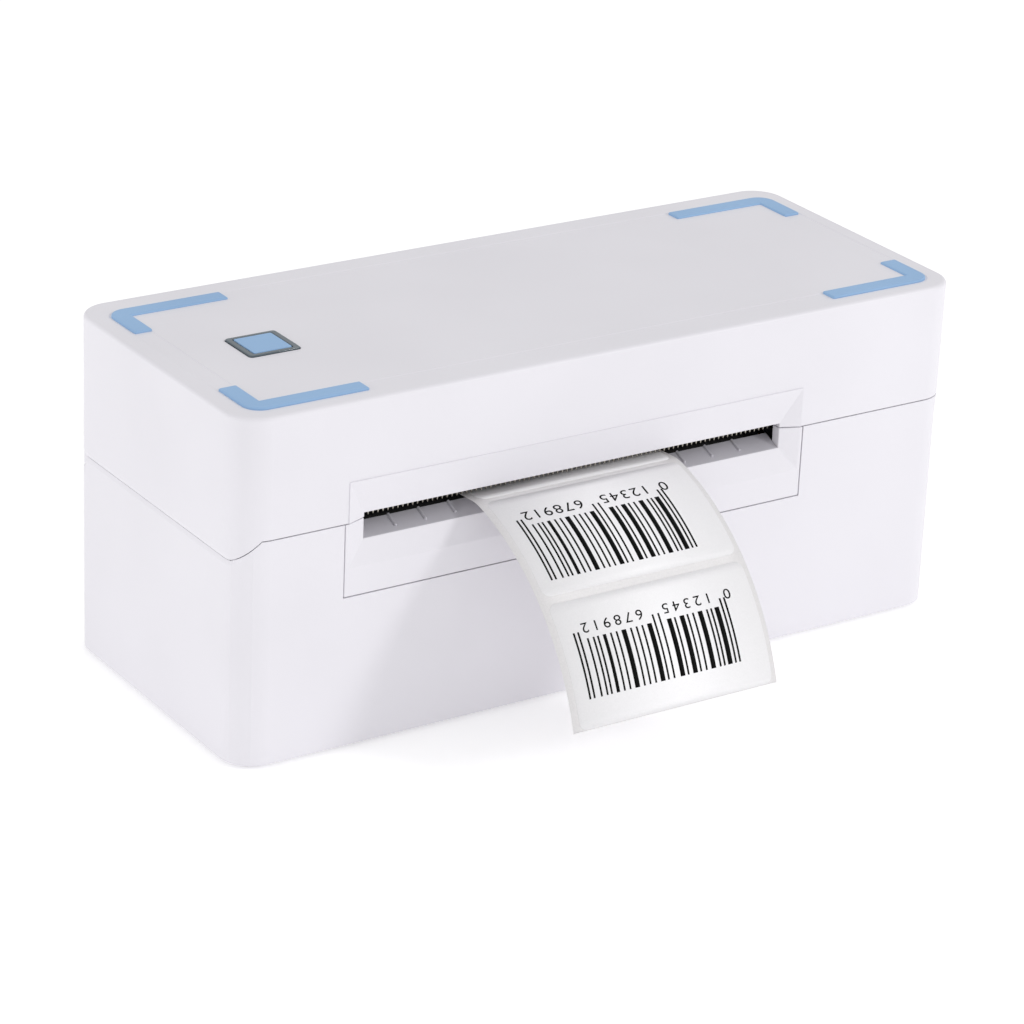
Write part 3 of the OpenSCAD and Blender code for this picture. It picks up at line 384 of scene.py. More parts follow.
def taper(mesh, edges, moves):
    """Draws edges out and moves the new corners along each axis, as (axis, from, to) says"""
    made = grow(mesh, edges, (0, 0, 0))
    for v in dict.fromkeys(v for e in made for v in e.verts):
        start = v.co.copy()
        for axis, old, new in moves:
            if abs(start[axis] - old) < 0.02:
                v.co[axis] = new
    return made


bezel = bmesh.new()
sheet = bmesh.ops.create_grid(bezel, x_segments=1, y_segments=1, size=0.5)["verts"]
bmesh.ops.rotate(bezel, cent=(0, 0, 0), matrix=Matrix.Rotation(math.pi / 2, 3, "X"), verts=sheet)
bmesh.ops.scale(bezel, vec=(bezel_x1 - bezel_x0, 1, rim_front - bezel_bottom), verts=sheet)
bmesh.ops.translate(bezel, verts=sheet, vec=(
    (bezel_x0 + bezel_x1) / 2, front_y, (rim_front + bezel_bottom) / 2))
open_window(bezel, funnel_x0, funnel_x1, funnel_bottom, 99, *front_wall)
rim = notch_edges(bezel, funnel_x0, funnel_x1, funnel_bottom, rim_front, front_y)
mouth = taper(bezel, rim, [(0, funnel_x0, slot_x0), (0, funnel_x1, slot_x1), (1, front_y, lip_y),
                           (2, funnel_bottom, slot_bottom)])
sides = [e for e in mouth if any(v.co.z > slot_bottom + 0.1 for v in e.verts)]
taper(bezel, sides, [(1, lip_y, cheek_y)])
bmesh.ops.recalc_face_normals(bezel, faces=bezel.faces)
if sum(f.normal.y * f.calc_area() for f in bezel.faces) > 0:
    bmesh.ops.reverse_faces(bezel, faces=bezel.faces)
add_piece("front_bezel_plate", bezel, white_abs, "base", bezel_wall, 0.2,
          ["front_bezel"], soft_angle)

# Pale grey ABS: the ribbed slope is moulded in a duller tone than the case. Part of that grey is
# the plastic's own tone, and part is painted shade from the lid's lip above it.
grey_abs_with_painted_shade = moulded("pale grey ABS with painted shade", "bfbdc4", "bab8bf", 0.36, 0.35, 0.01)
chute = bmesh.new()
first = [chute.verts.new((x, lip_y + 0.02, slot_bottom)) for x in (slot_x0, slot_x1)]
grow(chute, [chute.edges.new(first)], (0, slope_y - lip_y, slope_z - slot_bottom))
bmesh.ops.recalc_face_normals(chute, faces=chute.faces)
if sum(f.normal.z for f in chute.faces) < 0:
    bmesh.ops.reverse_faces(chute, faces=chute.faces)
# The slope's grey finish is partly painted shade.
add_piece("exit_chute", chute, grey_abs_with_painted_shade, "base", 1.2, 0.15, ["front_bezel"])

ribs = bmesh.new()
fall = math.atan2(slope_z - slot_bottom, slope_y - lip_y)
for i in range(-6, 7):
    x = web_x + rib_pitch * i
    tail = Vector((x, slope_y - 0.1, slope_z + 0.08))
    tip = tail + rib_len * Vector((0, -math.cos(fall), -math.sin(fall)))
    add_rod(ribs, tail, tip, rib_r, 12)
    bmesh.ops.create_uvsphere(ribs, u_segments=12, v_segments=8, radius=rib_end_r,
                              matrix=Matrix.Translation(tip))
# The ribs take the same grey finish, which is partly painted shade.
add_piece("bezel_ribs", ribs, grey_abs_with_painted_shade, "base")

# ---- Chassis ----
# One grey ABS moulding stands on the bottom plate: two side plates for the platen and a
# sloping deck for the labels. Sintered bronze bushes sit in its side plates.

# Grey ABS: dull, with the same spark texture as the case.
grey_abs = moulded("moulded grey ABS", "54565a", "4c4e52", 0.5, 0.4, 0.015)
# Sintered bronze: a grainy brown-gold.
bronze = plated("sintered bronze", "9a7444", "7c5a32", 0.5, 0.25, (1, 1, 1), 0.01)
dress(grey_abs, "chassis", "left_guide", "right_guide")
dress(bronze, "platen_bushes")

# ---- Drive train ----
# A can stepper motor on a zinc plated bracket turns the platen through a double idler gear.
# The gears are machined acetal and the motor's pinion is brass.

# Zinc plate: grey-blue, with soft blotches.
zinc_steel = plated("zinc plated steel", "b9bcbf", "94979b", 0.4, 1.5, (1, 1, 1))
# Drawn steel can: satin, with fine upright lines.
motor_can = plated("drawn steel can", "8e9092", "6f7173", 0.38, 0.5, (0.05, 1, 1))
# Ground steel bar: bright, with lines round the bar.
ground_steel = plated("ground steel bar", "cfcfcd", "b0b0ae", 0.22, 0.3, (8, 0.3, 0.3))
# Acetal: waxy ivory with a low sheen.
acetal = moulded("machined acetal", "e8e3d3", "e0dac8", 0.38, 0.5, 0.006, 0.45, 1.48)
# Brass: yellow, bright on its cut teeth.
brass = plated("cut brass", "c9a35a", "a9833f", 0.3, 0.3, (8, 1, 1))
dress(zinc_steel, "motor_bracket", "latch_springs", "head_holder")
dress(motor_can, "stepper_motor")
dress(ground_steel, "platen_shaft", "idler_axle", "guide_axle", "motor_shaft", "strike_pins",
      "hinge_pins", "head_guide_pins")
dress(acetal, "platen_gear", "idler_gear", "guide_pinion")
dress(brass, "motor_pinion")

# ---- Platen ----
# A sleeve of black nitrile rubber that grips the labels and feeds them forward. It is bonded
# to its shaft and ground round.


def ground_rubber():
    """Dark, dull rubber with very fine lines round the roller"""
    finish, tree, place = new_finish("ground nitrile rubber")
    mapped = add_node(tree, "Mapping", {"Scale": (4, 0.4, 0.4)}, [("Vector", place)])
    lines = add_node(tree, "TexNoise", {"Scale": 1800, "Detail": 2},
                     [("Vector", mapped.outputs["Vector"])])
    tone = add_node(tree, "ValToRGB", {}, [("Fac", lines.outputs["Fac"])])
    tone.color_ramp.elements[0].color = linear("151516")
    tone.color_ramp.elements[1].color = linear("232325")
    bump = add_node(tree, "Bump", {"Strength": 0.5, "Distance": 0.00001},
                    [("Height", lines.outputs["Fac"])])
    shader = add_node(tree, "BsdfPrincipled", {"Roughness": 0.62, "IOR": 1.52}, [
        ("Base Color", tone.outputs["Color"]), ("Normal", bump.outputs["Normal"])])
    close_finish(tree, shader)
    return finish


dress(ground_rubber(), "platen_rubber")

# ---- Electronics ----
# A green glass-epoxy board stands on posts in the right bay with the USB and power sockets.
# The rocker switch is snapped into the back wall above them.


def solder_mask():
    """Green lacquer over copper tracks a millimetre apart, which show as a lighter green"""
    finish, tree, place = new_finish("solder mask on glass epoxy")
    tracks = add_node(tree, "TexBrick", {
        "Scale": 220, "Mortar Size": 0.06, "Brick Width": 0.7, "Row Height": 0.3, "offset": 0.37,
        "Color1": linear("1d6b3c"), "Color2": linear("237646"), "Mortar": linear("2f8a55")},
        [("Vector", place)])
    bump = add_node(tree, "Bump", {"Strength": 0.4, "Distance": 0.00003},
                    [("Height", tracks.outputs["Fac"])])
    shader = add_node(tree, "BsdfPrincipled", {"Roughness": 0.3, "IOR": 1.55}, [
        ("Base Color", tracks.outputs["Color"]), ("Normal", bump.outputs["Normal"])])
    close_finish(tree, shader)
    return finish


# Black polybutylene: near black, low sheen, with a fine texture.
black_pbt = moulded("moulded black PBT", "1c1c1e", "161617", 0.4, 0.3, 0.008)
# Tinned shell of a socket: bright and slightly soft.
tinned_shell = plated("tinned socket shell", "d2d2d0", "b7b7b5", 0.24, 0.8, (1, 1, 1))
dress(solder_mask(), "main_board", "button_board")
dress(tinned_shell, "usb_socket")
dress(black_pbt, "power_socket", "switch_housing", "power_rocker", "gap_sensor")

# ---- Label web ----
# A strip of silicone-coated backing paper carries paper labels in from the back, over the
# deck and the platen and out of the slot, where it curls down in front of the case.
nip_y, nip_z = -28, 55.3
bend_y, bend_r, hang_r = -39.5, 12, 60
rise, hang_start, hang_end = math.radians(3.5), math.radians(14), math.radians(72.6)
liner_x0, liner_x1, liner_lift, liner_thick = -39.3, 18.6, 0.2, 0.12
label_x0, label_x1, label_lift, label_thick = -37.4, 17.3, 0.32, 0.11
label_len, label_corner_r, first_start, second_start = 30, 2, -0.9, 31.1
deck_y, deck_z, inlet_y, inlet_z = -21.5, 55, 38, 36.3
fine_step, deck_step = 1.2, 6
bend_z = nip_z + (nip_y - bend_y) * math.tan(rise)
hang_y = bend_y - bend_r * (math.sin(hang_start) + math.sin(rise))
hang_z = bend_z - bend_r * (math.cos(rise) - math.cos(hang_start))
bend_len = bend_r * (hang_start + rise)
legs = [((bend_y, bend_z), (nip_y, nip_z)), ((nip_y, nip_z), (deck_y, deck_z)),
        ((deck_y, deck_z), (inlet_y, inlet_z))]
leg_lens = [math.dist(a, b) for a, b in legs]
web_back, web_front = -bend_len - sum(leg_lens), hang_r * (hang_end - hang_start)


def on_web(x, s, lift):
    """A point s millimetres along the web from where it starts to hang, lifted off it"""
    if s > -bend_len:
        r = hang_r if s > 0 else bend_r
        a = hang_start + s / r
        return Vector((x, hang_y - r * (math.sin(a) - math.sin(hang_start)) - lift * math.sin(a),
                       hang_z - r * (math.cos(hang_start) - math.cos(a)) + lift * math.cos(a)))
    left = -s - bend_len
    for (a, b), length in zip(legs, leg_lens):
        if left <= length + 0.001 or (a, b) == legs[-1]:
            along = (Vector(b) - Vector(a)) / length
            p = Vector(a) + along * left
            return Vector((x, p.x - lift * along.y, p.y + lift * along.x))
        left -= length


def lay_on_web(mesh, lift):
    """Bends a flat shape, drawn with its Y as the length along the web, onto the web"""
    for v in mesh.verts:
        v.co = on_web(v.co.x, v.co.y, lift + v.co.z)
    mesh.normal_update()
    bmesh.ops.reverse_faces(mesh, faces=[f for f in mesh.faces if f.normal.z < f.normal.y])


def paper(name, light, dark, roughness, fibre_mm):
    """Paper: short fibres in two close tones with a slight relief"""
    finish, tree, place = new_finish(name)
    fibres = add_node(tree, "TexNoise", {"Scale": 1000 / fibre_mm, "Detail": 5, "Distortion": 1.5},
                      [("Vector", place)])
    tone = add_node(tree, "ValToRGB", {}, [("Fac", fibres.outputs["Fac"])])
    tone.color_ramp.elements[0].position, tone.color_ramp.elements[0].color = 0.3, linear(dark)
    tone.color_ramp.elements[1].position, tone.color_ramp.elements[1].color = 0.7, linear(light)
    bump = add_node(tree, "Bump", {"Strength": 0.4, "Distance": 0.00001},
                    [("Height", fibres.outputs["Fac"])])
    shader = add_node(tree, "BsdfPrincipled", {"Roughness": roughness, "IOR": 1.5}, [
        ("Base Color", tone.outputs["Color"]), ("Normal", bump.outputs["Normal"])])
    close_finish(tree, shader)
    return finish


# Glassine: dense and greyish, a little shiny from its silicone.
glassine = paper("silicone coated glassine", "efedee", "e8e6e7", 0.35, 0.8)
# Thermal label paper: bright white and smooth.
label_paper = paper("coated thermal paper", "faf9fb", "f5f4f6", 0.5, 0.5)
# Thermal print: the coating turned black, with the paper's own sheen.
print_black = moulded("thermal print", "060607", "030303", 0.6, 0.5, 0.001, 0.08)

liner = bmesh.new()
length_points = [web_front]
while length_points[-1] > web_back:
    step = fine_step if length_points[-1] > -20 else deck_step
    length_points.append(max(web_back, length_points[-1] - step))
first = [liner.verts.new((x, web_front, 0)) for x in (liner_x0, liner_x1)]
strip = [liner.edges.new(first)]
for here, there in zip(length_points, length_points[1:]):
    strip = grow(liner, strip, (0, there - here, 0))
    strip = [e for e in strip if all(abs(v.co.y - there) < 1e-4 for v in e.verts)]
for i in range(1, 8):
    cut(liner, (liner_x0 + (liner_x1 - liner_x0) * i / 8, 0, 0), (1, 0, 0))
lay_on_web(liner, liner_lift)
backing = add_piece("backing_strip", liner, glassine, "base", liner_thick, 0,
                    ["label_liner"])


def add_label(name, start, length, stands_for=()):
    """One label with round corners, bent over the web"""
    flat = bmesh.new()
    rounded_plate(flat, label_x0, label_x1, start, start + length, label_corner_r, 0, 6)
    for i in range(1, int(length / fine_step)):
        cut(flat, (0, start + fine_step * i, 0), (0, 1, 0))
    lay_on_web(flat, label_lift)
    return add_piece(name, flat, label_paper, "base", label_thick, 0, stands_for)


first_label = add_label("label_first", first_start, label_len, ["labels"])
second_label = add_label("label_second", second_start, label_len)
next_label = add_label("label_in_slot", -bend_len - leg_lens[0] + 0.2, leg_lens[0] + 1)

# ---- Print on the labels ----
# A sample bar code, black where the print head has heated the paper. It reads from the other
# side, so its digits stand on their heads above the bars.
# The widths of its bars and of the gaps between them, in modules, encode nothing.
bar_widths, gap_widths = "11111211311131131311311311", "2432333333332342323332222"
code_left, module_w, ink_spread, print_lift, ink_thick = web_x - 23.85, 0.402, 0.1, 0.34, 0.012
long_bars = [0, 1, 13, 14, 24, 25]  # these reach up to the middle of the digits
code_h, long_bar_extra = 15.6, 1.85
digit_rows = [("219876", 3.6), ("54321", 26.3), ("0", 44)]  # digits and the place of the first
digit_pitch, digit_h, digit_widen, font_cap_share = 3.05, 2.65, 1.22, 0.76


def add_digit(mesh, digit, x, s, height):
    """One digit, upside down, with its foot at s"""
    text = bpy.data.curves.new("digit", "FONT")
    text.body, text.size, text.align_x = digit, height / font_cap_share, "CENTER"
    holder = bpy.data.objects.new("digit", text)
    outline = bpy.data.meshes.new_from_object(holder)
    outline.transform(Matrix.Translation((x, s, 0)) @ Matrix.Diagonal((-digit_widen, 1, 1, 1)))
    mesh.from_mesh(outline)
    bpy.data.objects.remove(holder)
    bpy.data.curves.remove(text)
    bpy.data.meshes.remove(outline)


def add_print(name, label_start, guard_s, end_s, squeeze):
    """Bars and digits between two lengths along the web, squeezed across it"""
    flat = bmesh.new()
    stretch = (end_s - guard_s) / code_h
    extra = long_bar_extra * stretch
    x = code_left
    for i, (width, gap) in enumerate(zip(bar_widths, gap_widths + "0")):
        top = guard_s if i in long_bars else guard_s + extra
        end = x + squeeze * module_w * int(width)
        bar = bmesh.ops.create_grid(flat, x_segments=1, y_segments=1, size=0.5)["verts"]
        bmesh.ops.scale(flat, vec=(end - x + ink_spread, end_s - top, 1), verts=bar)
        bmesh.ops.translate(flat, vec=((x + end) / 2, (top + end_s) / 2, 0), verts=bar)
        x = end + squeeze * module_w * int(gap)
    for digits, start in digit_rows:
        for i, digit in enumerate(digits):
            middle = code_left + squeeze * (start + digit_pitch * i)
            add_digit(flat, digit, middle, guard_s - extra, digit_h * stretch)
    for i in range(1, int(label_len / fine_step)):
        cut(flat, (0, label_start + fine_step * i, 0), (0, 1, 0))
    lay_on_web(flat, print_lift)
    return add_piece(name, flat, print_black, "base", ink_thick)


first_print = add_print("print_first", first_start, 7.2, 25.3, 0.965)
second_print = add_print("print_second", second_start, 38.85, 54.45, 1)

# ---- Lid ----
# The upper half of the case, moulded in the same white ABS, with a shallow band sunk into its
# top. Its front edge carries the upper part of the funnel over the slot.
lid_top, lid_front, lid_side = 88, 57.95, 52.25
funnel_top, slot_top = 68.1, 59
lip_back, brow_y = -37, -41.72
edge_round, knuckle_gap, roll_r, roll_end = 1.1, 0.3, 3.5, 100.9
band_gap, band_slope, band_depth = 0.3, 0.22, 0.13
pad_x, pad_front, pad_back, pad_w, pad_r = 97.4, -36.9, 34.1, 4.7, 4.5
key_x, key_y = -74.1, -0.9
frame_w, frame_d, frame_gap = 13.6, 12.8, 0.2


def fill_between(mesh, outer, inner):
    """Fills the level ring between two loops of edges"""
    bmesh.ops.triangle_fill(mesh, edges=list(outer) + list(inner), use_beauty=True,
                            normal=(0, 0, 1))


lid = bmesh.new()
top = rounded_plate(lid, -case_w / 2, case_w / 2, -case_d / 2, case_d / 2, corner_r, lid_top)
grow(lid, top.edges, (0, 0, -40))
bmesh.ops.bevel(lid, geom=list(top.edges), offset=edge_round, offset_type="OFFSET", segments=10,
                profile=0.5, affect="EDGES", material=-1)
top = max(lid.faces, key=lambda f: len(f.verts))
outer_edges = list(top.edges)
bmesh.ops.delete(lid, geom=[top], context="FACES_ONLY")
grown = band_gap + band_slope
band = rounded_plate(lid, -pad_x - grown, pad_x + grown, pad_front - grown, pad_back + grown,
                     pad_r + grown, lid_top, 12)
fill_between(lid, outer_edges, band.edges)
bmesh.ops.inset_region(lid, faces=[band], thickness=band_slope, depth=-band_depth,
                       use_even_offset=True)
floor_edges = list(band.edges)
bmesh.ops.delete(lid, geom=[band], context="FACES_ONLY")
middle = rounded_plate(lid, -pad_x + pad_w - band_gap, pad_x - pad_w + band_gap,
                       pad_front + pad_w - band_gap, pad_back - pad_w + band_gap,
                       0.6, lid_top - band_depth, 3)
fill_between(lid, floor_edges, middle.edges)
bmesh.ops.inset_region(lid, faces=[middle], thickness=band_slope, depth=band_depth,
                       use_even_offset=True)
middle_edges = list(middle.edges)
bmesh.ops.delete(lid, geom=[middle], context="FACES_ONLY")
hole = rounded_plate(lid, key_x - frame_w / 2 - frame_gap, key_x + frame_w / 2 + frame_gap,
                     key_y - frame_d / 2 - frame_gap, key_y + frame_d / 2 + frame_gap,
                     1, lid_top, 5)
fill_between(lid, middle_edges, hole.edges)
bmesh.ops.delete(lid, geom=[hole], context="FACES_ONLY")
cut_seam(lid, lid_front, lid_side)
cut(lid, (0, 0, hinge_z), (0, 0, 1), (-999, 33, 0), (999, 999, 60))
cut(lid, (0, hinge_y, 0), (0, 1, 0), (-999, 33, 45), (999, 999, 56))
gone = []
for face in lid.faces:
    c = face.calc_center_median()
    low = hinge_z if c.y > hinge_y else rim_height(c.x, c.y, lid_front, lid_side)
    if c.z < low:
        gone.append(face)
bmesh.ops.delete(lid, geom=gone, context="FACES")
gap_x0, gap_x1, gap_top = knuckle_x0 - knuckle_gap, knuckle_x1 + knuckle_gap, 56.2
open_window(lid, -gap_x1, -gap_x0, 50, gap_top, *back_wall)
open_window(lid, gap_x0, gap_x1, 50, gap_top, *back_wall)
open_window(lid, funnel_x0, funnel_x1, 50, funnel_top, *front_wall)
rim = notch_edges(lid, funnel_x0, funnel_x1, lid_front, funnel_top, front_y)
rim += [e for e in lid.edges if e.is_boundary and all(abs(v.co.z - funnel_top) < 0.01
        and abs(v.co.y - front_y) < 0.01 for v in e.verts)]
rim = taper(lid, rim, [(1, front_y, brow_y)])
mouth = taper(lid, rim, [(0, funnel_x0, slot_x0), (0, funnel_x1, slot_x1), (1, brow_y, lip_y),
                         (2, funnel_top, slot_top)])
taper(lid, mouth, [(1, lip_y, lip_back)])
pinch_seam(lid, lid_side, lid_side + lean_height)
put_in_order(lid)
bmesh.ops.remove_doubles(lid, verts=lid.verts, dist=0.01)
bmesh.ops.recalc_face_normals(lid, faces=lid.faces)
add_piece("lid_shell", lid, white_abs, "lid", wall, 0.15, ["top_cover"], soft_angle)

roll = bmesh.new()
add_rod(roll, (-gap_x0, hinge_y, hinge_z), (gap_x0, hinge_y, hinge_z), roll_r, 48)
for side in (-1, 1):
    add_rod(roll, (gap_x1 * side, hinge_y, hinge_z), (roll_end * side, hinge_y, hinge_z),
            roll_r, 48)
for x in (94.2, 95.5, 96.8, 98, 99, 100):
    for side in (-1, 1):
        cut(roll, (x * side, 0, 0), (1, 0, 0), (gap_x1 if side > 0 else -101, 0, 0),
            (101 if side > 0 else -gap_x1, 99, 99))
for v in roll.verts:  # the ends follow the round corners of the case
    over = abs(v.co.x) - (case_w / 2 - corner_r)
    if over > 0:
        reach = math.sqrt(max(0, corner_r ** 2 - over ** 2))
        v.co.y = min(v.co.y, case_d / 2 - corner_r + reach)
add_piece("lid_rolled_edge", roll, white_abs, "lid", soften=0.15)

ties = bmesh.new()
roof, head_post_z, key_post_z = 86, 68, 77.6
for x in (lane_x - 54, lane_x + 54):
    for y in (-31, -13):
        add_rod(ties, (x, y, head_post_z), (x, y, roof), 3.2)
for x in (key_x - 16, key_x + 16):
    add_rod(ties, (x, key_y, key_post_z), (x, key_y, roof), 3)
tear_bar_y, tear_wall_y = -36.95, -38.2
add_block(ties, slot_x0 - 3, slot_x1 + 3, tear_wall_y, tear_bar_y, 61, 69.1)
add_piece("lid_posts", ties, white_abs, "lid", soften=0.2)

# ---- Corner pads ----
# Four angle-shaped strips of soft blue silicone rubber, moulded flat and glued into the
# band at its corners.
pad_long, pad_short, pad_z0, pad_thick = 31, 15.4, 87.4, 1.1

# Silicone rubber: matt, pale blue, with a faint orange-peel skin.
blue_silicone = moulded("moulded blue silicone", "98bce2", "92b6dd", 0.5, 0.6, 0.012, 0.45, 1.43)
for name, side, end, y in (("front_left", -1, -1, pad_front), ("front_right", 1, -1, pad_front),
                           ("back_left", -1, 1, pad_back), ("back_right", 1, 1, pad_back)):
    pad = bmesh.new()
    path = [(0, 0), (pad_long, 0), (pad_long, pad_w), (pad_w, pad_w), (pad_w, pad_short),
            (0, pad_short)]
    corners = [pad.verts.new((side * (pad_x - u), y - end * v, pad_z0)) for u, v in path]
    pad.faces.new(corners)
    bmesh.ops.bevel(pad, geom=[corners[0]], offset=pad_r, offset_type="OFFSET", segments=10,
                    profile=0.5, affect="VERTICES", material=-1)
    made = bmesh.ops.extrude_face_region(pad, geom=list(pad.faces))["geom"]
    shift_new(pad, made, (0, 0, pad_thick))
    bmesh.ops.recalc_face_normals(pad, faces=pad.faces)
    add_piece("pad_" + name, pad, blue_silicone, "lid", soften=0.42,
              stands_for=["corner_pads"])

# ---- Feed button ----
# A blue key in a frame of smoked polycarbonate, set into the lid over its switch. The key and
# the pads are the same blue; the frame is glued in.
frame_bottom, frame_top, hole_half = 86, 88.4, 5.3
key_half, key_bottom, key_height, stem_bottom, stem_top, stem_r = 5.1, 83.4, 5.1, 81.6, 83.6, 2


def smoked_polycarbonate():
    """Dark clear plastic, polished, with faint flow lines"""
    finish, tree, place = new_finish("smoked polycarbonate")
    flow = add_node(tree, "TexNoise", {"Scale": 300, "Detail": 1}, [("Vector", place)])
    tone = add_node(tree, "ValToRGB", {}, [("Fac", flow.outputs["Fac"])])
    tone.color_ramp.elements[0].color = linear("4e5a62")
    tone.color_ramp.elements[1].color = linear("5a666e")
    shader = add_node(tree, "BsdfPrincipled", {"Roughness": 0.12, "IOR": 1.58}, [
        ("Base Color", tone.outputs["Color"])])
    close_finish(tree, shader)
    return finish


def loop_of(mesh, x0, x1, y0, y1, r, z):
    """A closed loop of edges with round corners"""
    face = rounded_plate(mesh, x0, x1, y0, y1, r, z, 5)
    edges = list(face.edges)
    bmesh.ops.delete(mesh, geom=[face], context="FACES_ONLY")
    return edges


surround = bmesh.new()
rings = [loop_of(surround, key_x - a, key_x + a, key_y - b, key_y + b, r, z) for a, b, r, z in (
    (frame_w / 2, frame_d / 2, 0.8, frame_bottom), (frame_w / 2, frame_d / 2, 0.8, frame_top),
    (hole_half, hole_half, 0.5, frame_top), (hole_half, hole_half, 0.5, frame_bottom))]
for one, other in zip(rings, rings[1:] + rings[:1]):
    bmesh.ops.bridge_loops(surround, edges=one + other)
bmesh.ops.recalc_face_normals(surround, faces=surround.faces)
add_piece("button_surround", surround, smoked_polycarbonate(), "lid", soften=0.25,
          stands_for=["button_frame"])

key = bmesh.new()
cap = rounded_plate(key, key_x - key_half, key_x + key_half, key_y - key_half, key_y + key_half,
                    0.5, key_bottom, 5)
made = bmesh.ops.extrude_face_region(key, geom=[cap])["geom"]
shift_new(key, made, (0, 0, key_height))
add_rod(key, (key_x, key_y, stem_bottom), (key_x, key_y, stem_top), stem_r)
bmesh.ops.recalc_face_normals(key, faces=key.faces)
add_piece("feed_key", key, blue_silicone, "feed_button", soften=0.25,
          stands_for=["feed_button"])

# ---- Print head ----
# An extruded aluminium heat sink carries the ceramic heater strip. It hangs on two pins from
# the lid, and two steel coil springs press it onto the platen.
spring_x, spring_y, spring_z0, spring_z1, spring_turns = 35, -22, 63.05, 66.4, 4
coil_r, wire_r, steps_per_turn = 2.6, 0.25, 24


def heater_glaze():
    """Brown glazed alumina with gold leads 1/8 mm apart, drawn coarser so that they show"""
    finish, tree, place = new_finish("glazed alumina")
    leads = add_node(tree, "TexWave", {"Scale": 260, "bands_direction": "X"}, [("Vector", place)])
    tone = add_node(tree, "ValToRGB", {}, [("Fac", leads.outputs["Fac"])])
    tone.color_ramp.elements[0].color = linear("5b4432")
    tone.color_ramp.elements[1].color = linear("8a6a3c")
    shader = add_node(tree, "BsdfPrincipled", {"Roughness": 0.18, "IOR": 1.6}, [
        ("Base Color", tone.outputs["Color"])])
    close_finish(tree, shader)
    return finish


# Extruded aluminium: pale grey with lines along its length.
aluminium = plated("extruded aluminium", "c6c8ca", "abadb0", 0.36, 0.35, (0.03, 1, 1))
# Spring wire: dark polished steel.
spring_wire = plated("hard drawn spring wire", "a3a4a6", "85868a", 0.3, 0.4, (1, 1, 1))
dress(aluminium, "heat_sink")
dress(heater_glaze(), "heater_strip")
springs = bmesh.new()
for side in (-1, 1):
    x = lane_x + spring_x * side
    start = Matrix.Translation((x + coil_r, spring_y, spring_z0 + wire_r))
    ring = bmesh.ops.create_circle(springs, cap_ends=False, segments=10, radius=wire_r,
                                   matrix=start @ Matrix.Rotation(math.pi / 2, 4, "X"))["verts"]
    edges = list(dict.fromkeys(e for v in ring for e in v.link_edges))
    steps = spring_turns * steps_per_turn
    rise_per_step = (spring_z1 - spring_z0 - 2 * wire_r) / steps
    bmesh.ops.spin(springs, geom=ring + edges, cent=(x, spring_y, 0), axis=(0, 0, 1),
                   dvec=(0, 0, rise_per_step), angle=2 * math.pi * spring_turns, steps=steps)
bmesh.ops.holes_fill(springs, edges=[e for e in springs.edges if e.is_boundary], sides=0)
bmesh.ops.recalc_face_normals(springs, faces=springs.faces)
coils = add_piece("head_coil_springs", springs, spring_wire, "lid",
                  stands_for=["head_springs"])
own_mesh(coils)

# A flat cable climbs from the board, crosses under the lid and drops to the head.
cable_x0, cable_x1, cable_y, board_z, cable_thick = 68, 78, 24.8, 11.8, 0.25
cross_z, head_x, head_drop = 71.85, 13, 6.9


def flat_cable():
    """White film over tinned wires a millimetre apart, which show through as grey lines"""
    finish, tree, place = new_finish("flat flexible cable")
    wires = add_node(tree, "TexWave", {"Scale": 157, "bands_direction": "X"}, [("Vector", place)])
    tone = add_node(tree, "ValToRGB", {}, [("Fac", wires.outputs["Fac"])])
    film, wire = tone.color_ramp.elements
    film.position, film.color = 0.45, linear("efefed")
    wire.position, wire.color = 0.75, linear("c9cacc")
    bump = add_node(tree, "Bump", {"Strength": 0.6, "Distance": 0.00008},
                    [("Height", wires.outputs["Fac"])])
    shader = add_node(tree, "BsdfPrincipled", {"Roughness": 0.35, "IOR": 1.5}, [
        ("Base Color", tone.outputs["Color"]), ("Normal", bump.outputs["Normal"])])
    close_finish(tree, shader)
    return finish


cable = bmesh.new()
corners = [cable.verts.new((x, cable_y, board_z)) for x in (cable_x0, cable_x1)]
strip = [cable.edges.new(corners)]
way = [(cable_y, z) for z in range(16, 70, 3)] + [(24.5, 70.6), (23.6, 71.5), (22.2, cross_z)]
way += [(y, cross_z) for y in (16, 10, 4, -2, -8, -14, -17, -20, -23.5, -27)]
here = (cable_y, board_z)
for there in way:
    strip = grow(cable, strip, (0, there[0] - here[0], there[1] - here[1]))
    strip = [e for e in strip if all(abs(v.co.y - there[0]) < 1e-4 and abs(v.co.z - there[1]) < 1e-4
                                     for v in e.verts)]
    here = there
turned = [e for e in cable.edges if e.is_boundary and all(
    abs(v.co.x - cable_x0) < 0.01 and v.co.y < -16.9 and v.co.z > 71 for v in e.verts)]
turned = grow(cable, turned, (head_x - cable_x0, 0, 0))
turned = [e for e in turned if all(abs(v.co.x - head_x) < 0.01 for v in e.verts)]
turned = grow(cable, turned, (-1, 0, -0.8))
turned = [e for e in turned if all(abs(v.co.x - head_x + 1) < 0.01 for v in e.verts)]
grow(cable, turned, (0, 0, -head_drop))
bmesh.ops.recalc_face_normals(cable, faces=cable.faces)
bmesh.ops.solidify(cable, geom=list(cable.faces), thickness=cable_thick)
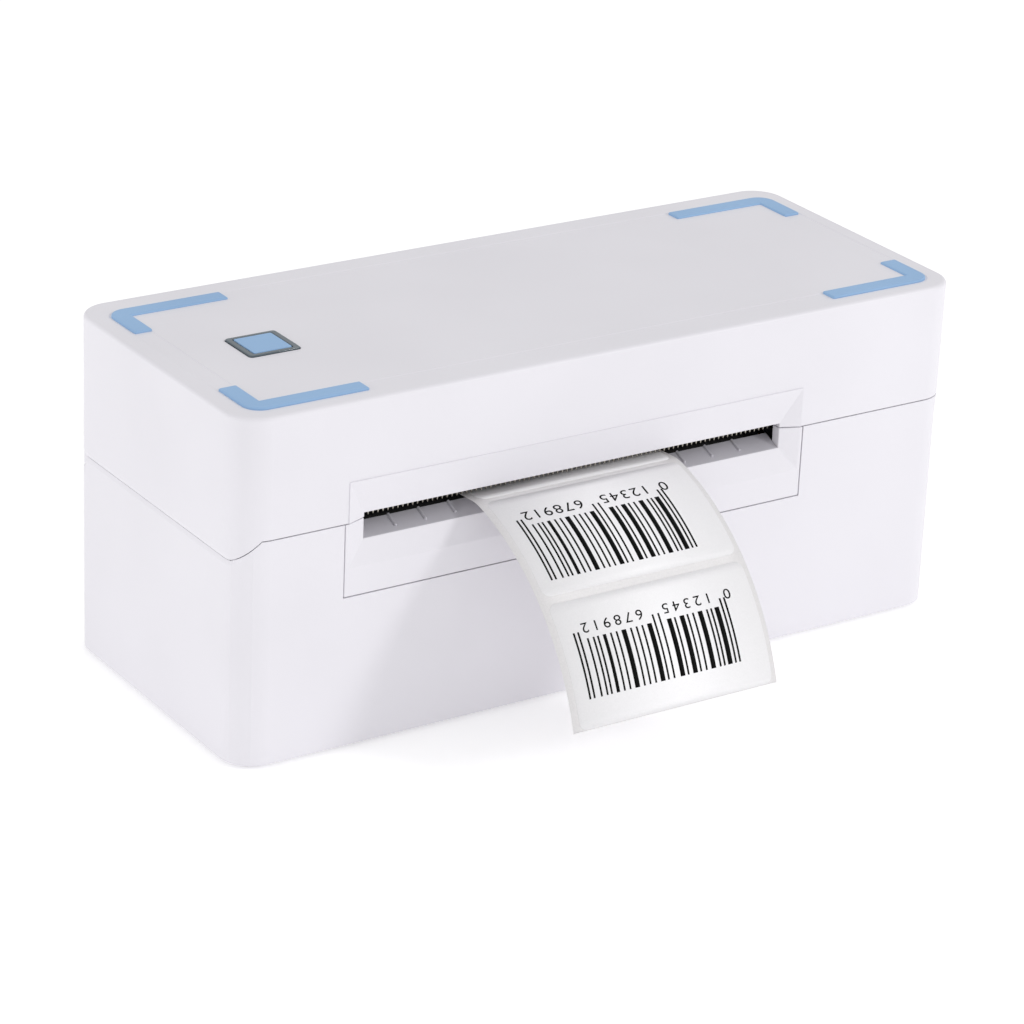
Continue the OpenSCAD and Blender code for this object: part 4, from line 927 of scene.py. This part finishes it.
ribbon = new_object("head_ribbon", cable, flat_cable())
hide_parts("head_cable")
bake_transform(ribbon)

# ---- Tear bar ----
# A strip of stainless steel with a saw edge, stamped and screwed behind the lid's lip. The
# labels are torn off against its teeth.

# Cold rolled stainless steel: grey with lines along the strip.
stainless = plated("cold rolled stainless steel", "c4bfb4", "9f9a90", 0.32, 0.3, (0.05, 1, 1))
dress(stainless, "tear_bar")

# ---- Studio ----
# A wide pale floor under a white room, with one large soft light from the right and a weaker
# one from the left.


def studio_light(name, place, aim_at, size, power):
    """A round soft light that faces a point"""
    lamp = bpy.data.lights.new(name, "AREA")
    lamp.shape, lamp.size, lamp.energy = "DISK", size, power
    holder = bpy.data.objects.new(name, lamp)
    bpy.context.collection.objects.link(holder)
    holder.location = place
    holder.rotation_mode = "QUATERNION"
    holder.rotation_quaternion = (Vector(place) - Vector(aim_at)).to_track_quat("Z", "Y")


# White paint: matt, with a mottle too weak to notice, and bright enough to meet the room.
paint, tree, place = new_finish("white studio paint")
mottle = add_node(tree, "TexNoise", {"Scale": 3, "Detail": 2}, [("Vector", place)])
tone = add_node(tree, "ValToRGB", {}, [("Fac", mottle.outputs["Fac"])])
tone.color_ramp.elements[0].color = linear("fbfbfb")
tone.color_ramp.elements[1].color = linear("fdfdfd")
shader = add_node(tree, "BsdfPrincipled", {
    "Roughness": 0.9, "Specular IOR Level": 0, "Emission Color": linear("ffffff"),
    "Emission Strength": 0.25}, [("Base Color", tone.outputs["Color"])])
close_finish(tree, shader)
ground = bmesh.new()
bmesh.ops.create_grid(ground, x_segments=1, y_segments=1, size=20000)
floor = new_object("floor", ground, paint)

room = bpy.data.worlds.new("room")
bpy.context.scene.world = room
room.use_nodes = True
walls = room.node_tree.nodes["Background"].inputs
walls["Color"].default_value, walls["Strength"].default_value = linear("ffffff"), 0.77
case_middle = (0, 0, 0.04)
studio_light("key_light", (1.05, -1.28, 0.82), case_middle, 0.36, 6.6)
studio_light("fill_light", (-1.5, 0.3, 0.5), case_middle, 1.0, 2.8)
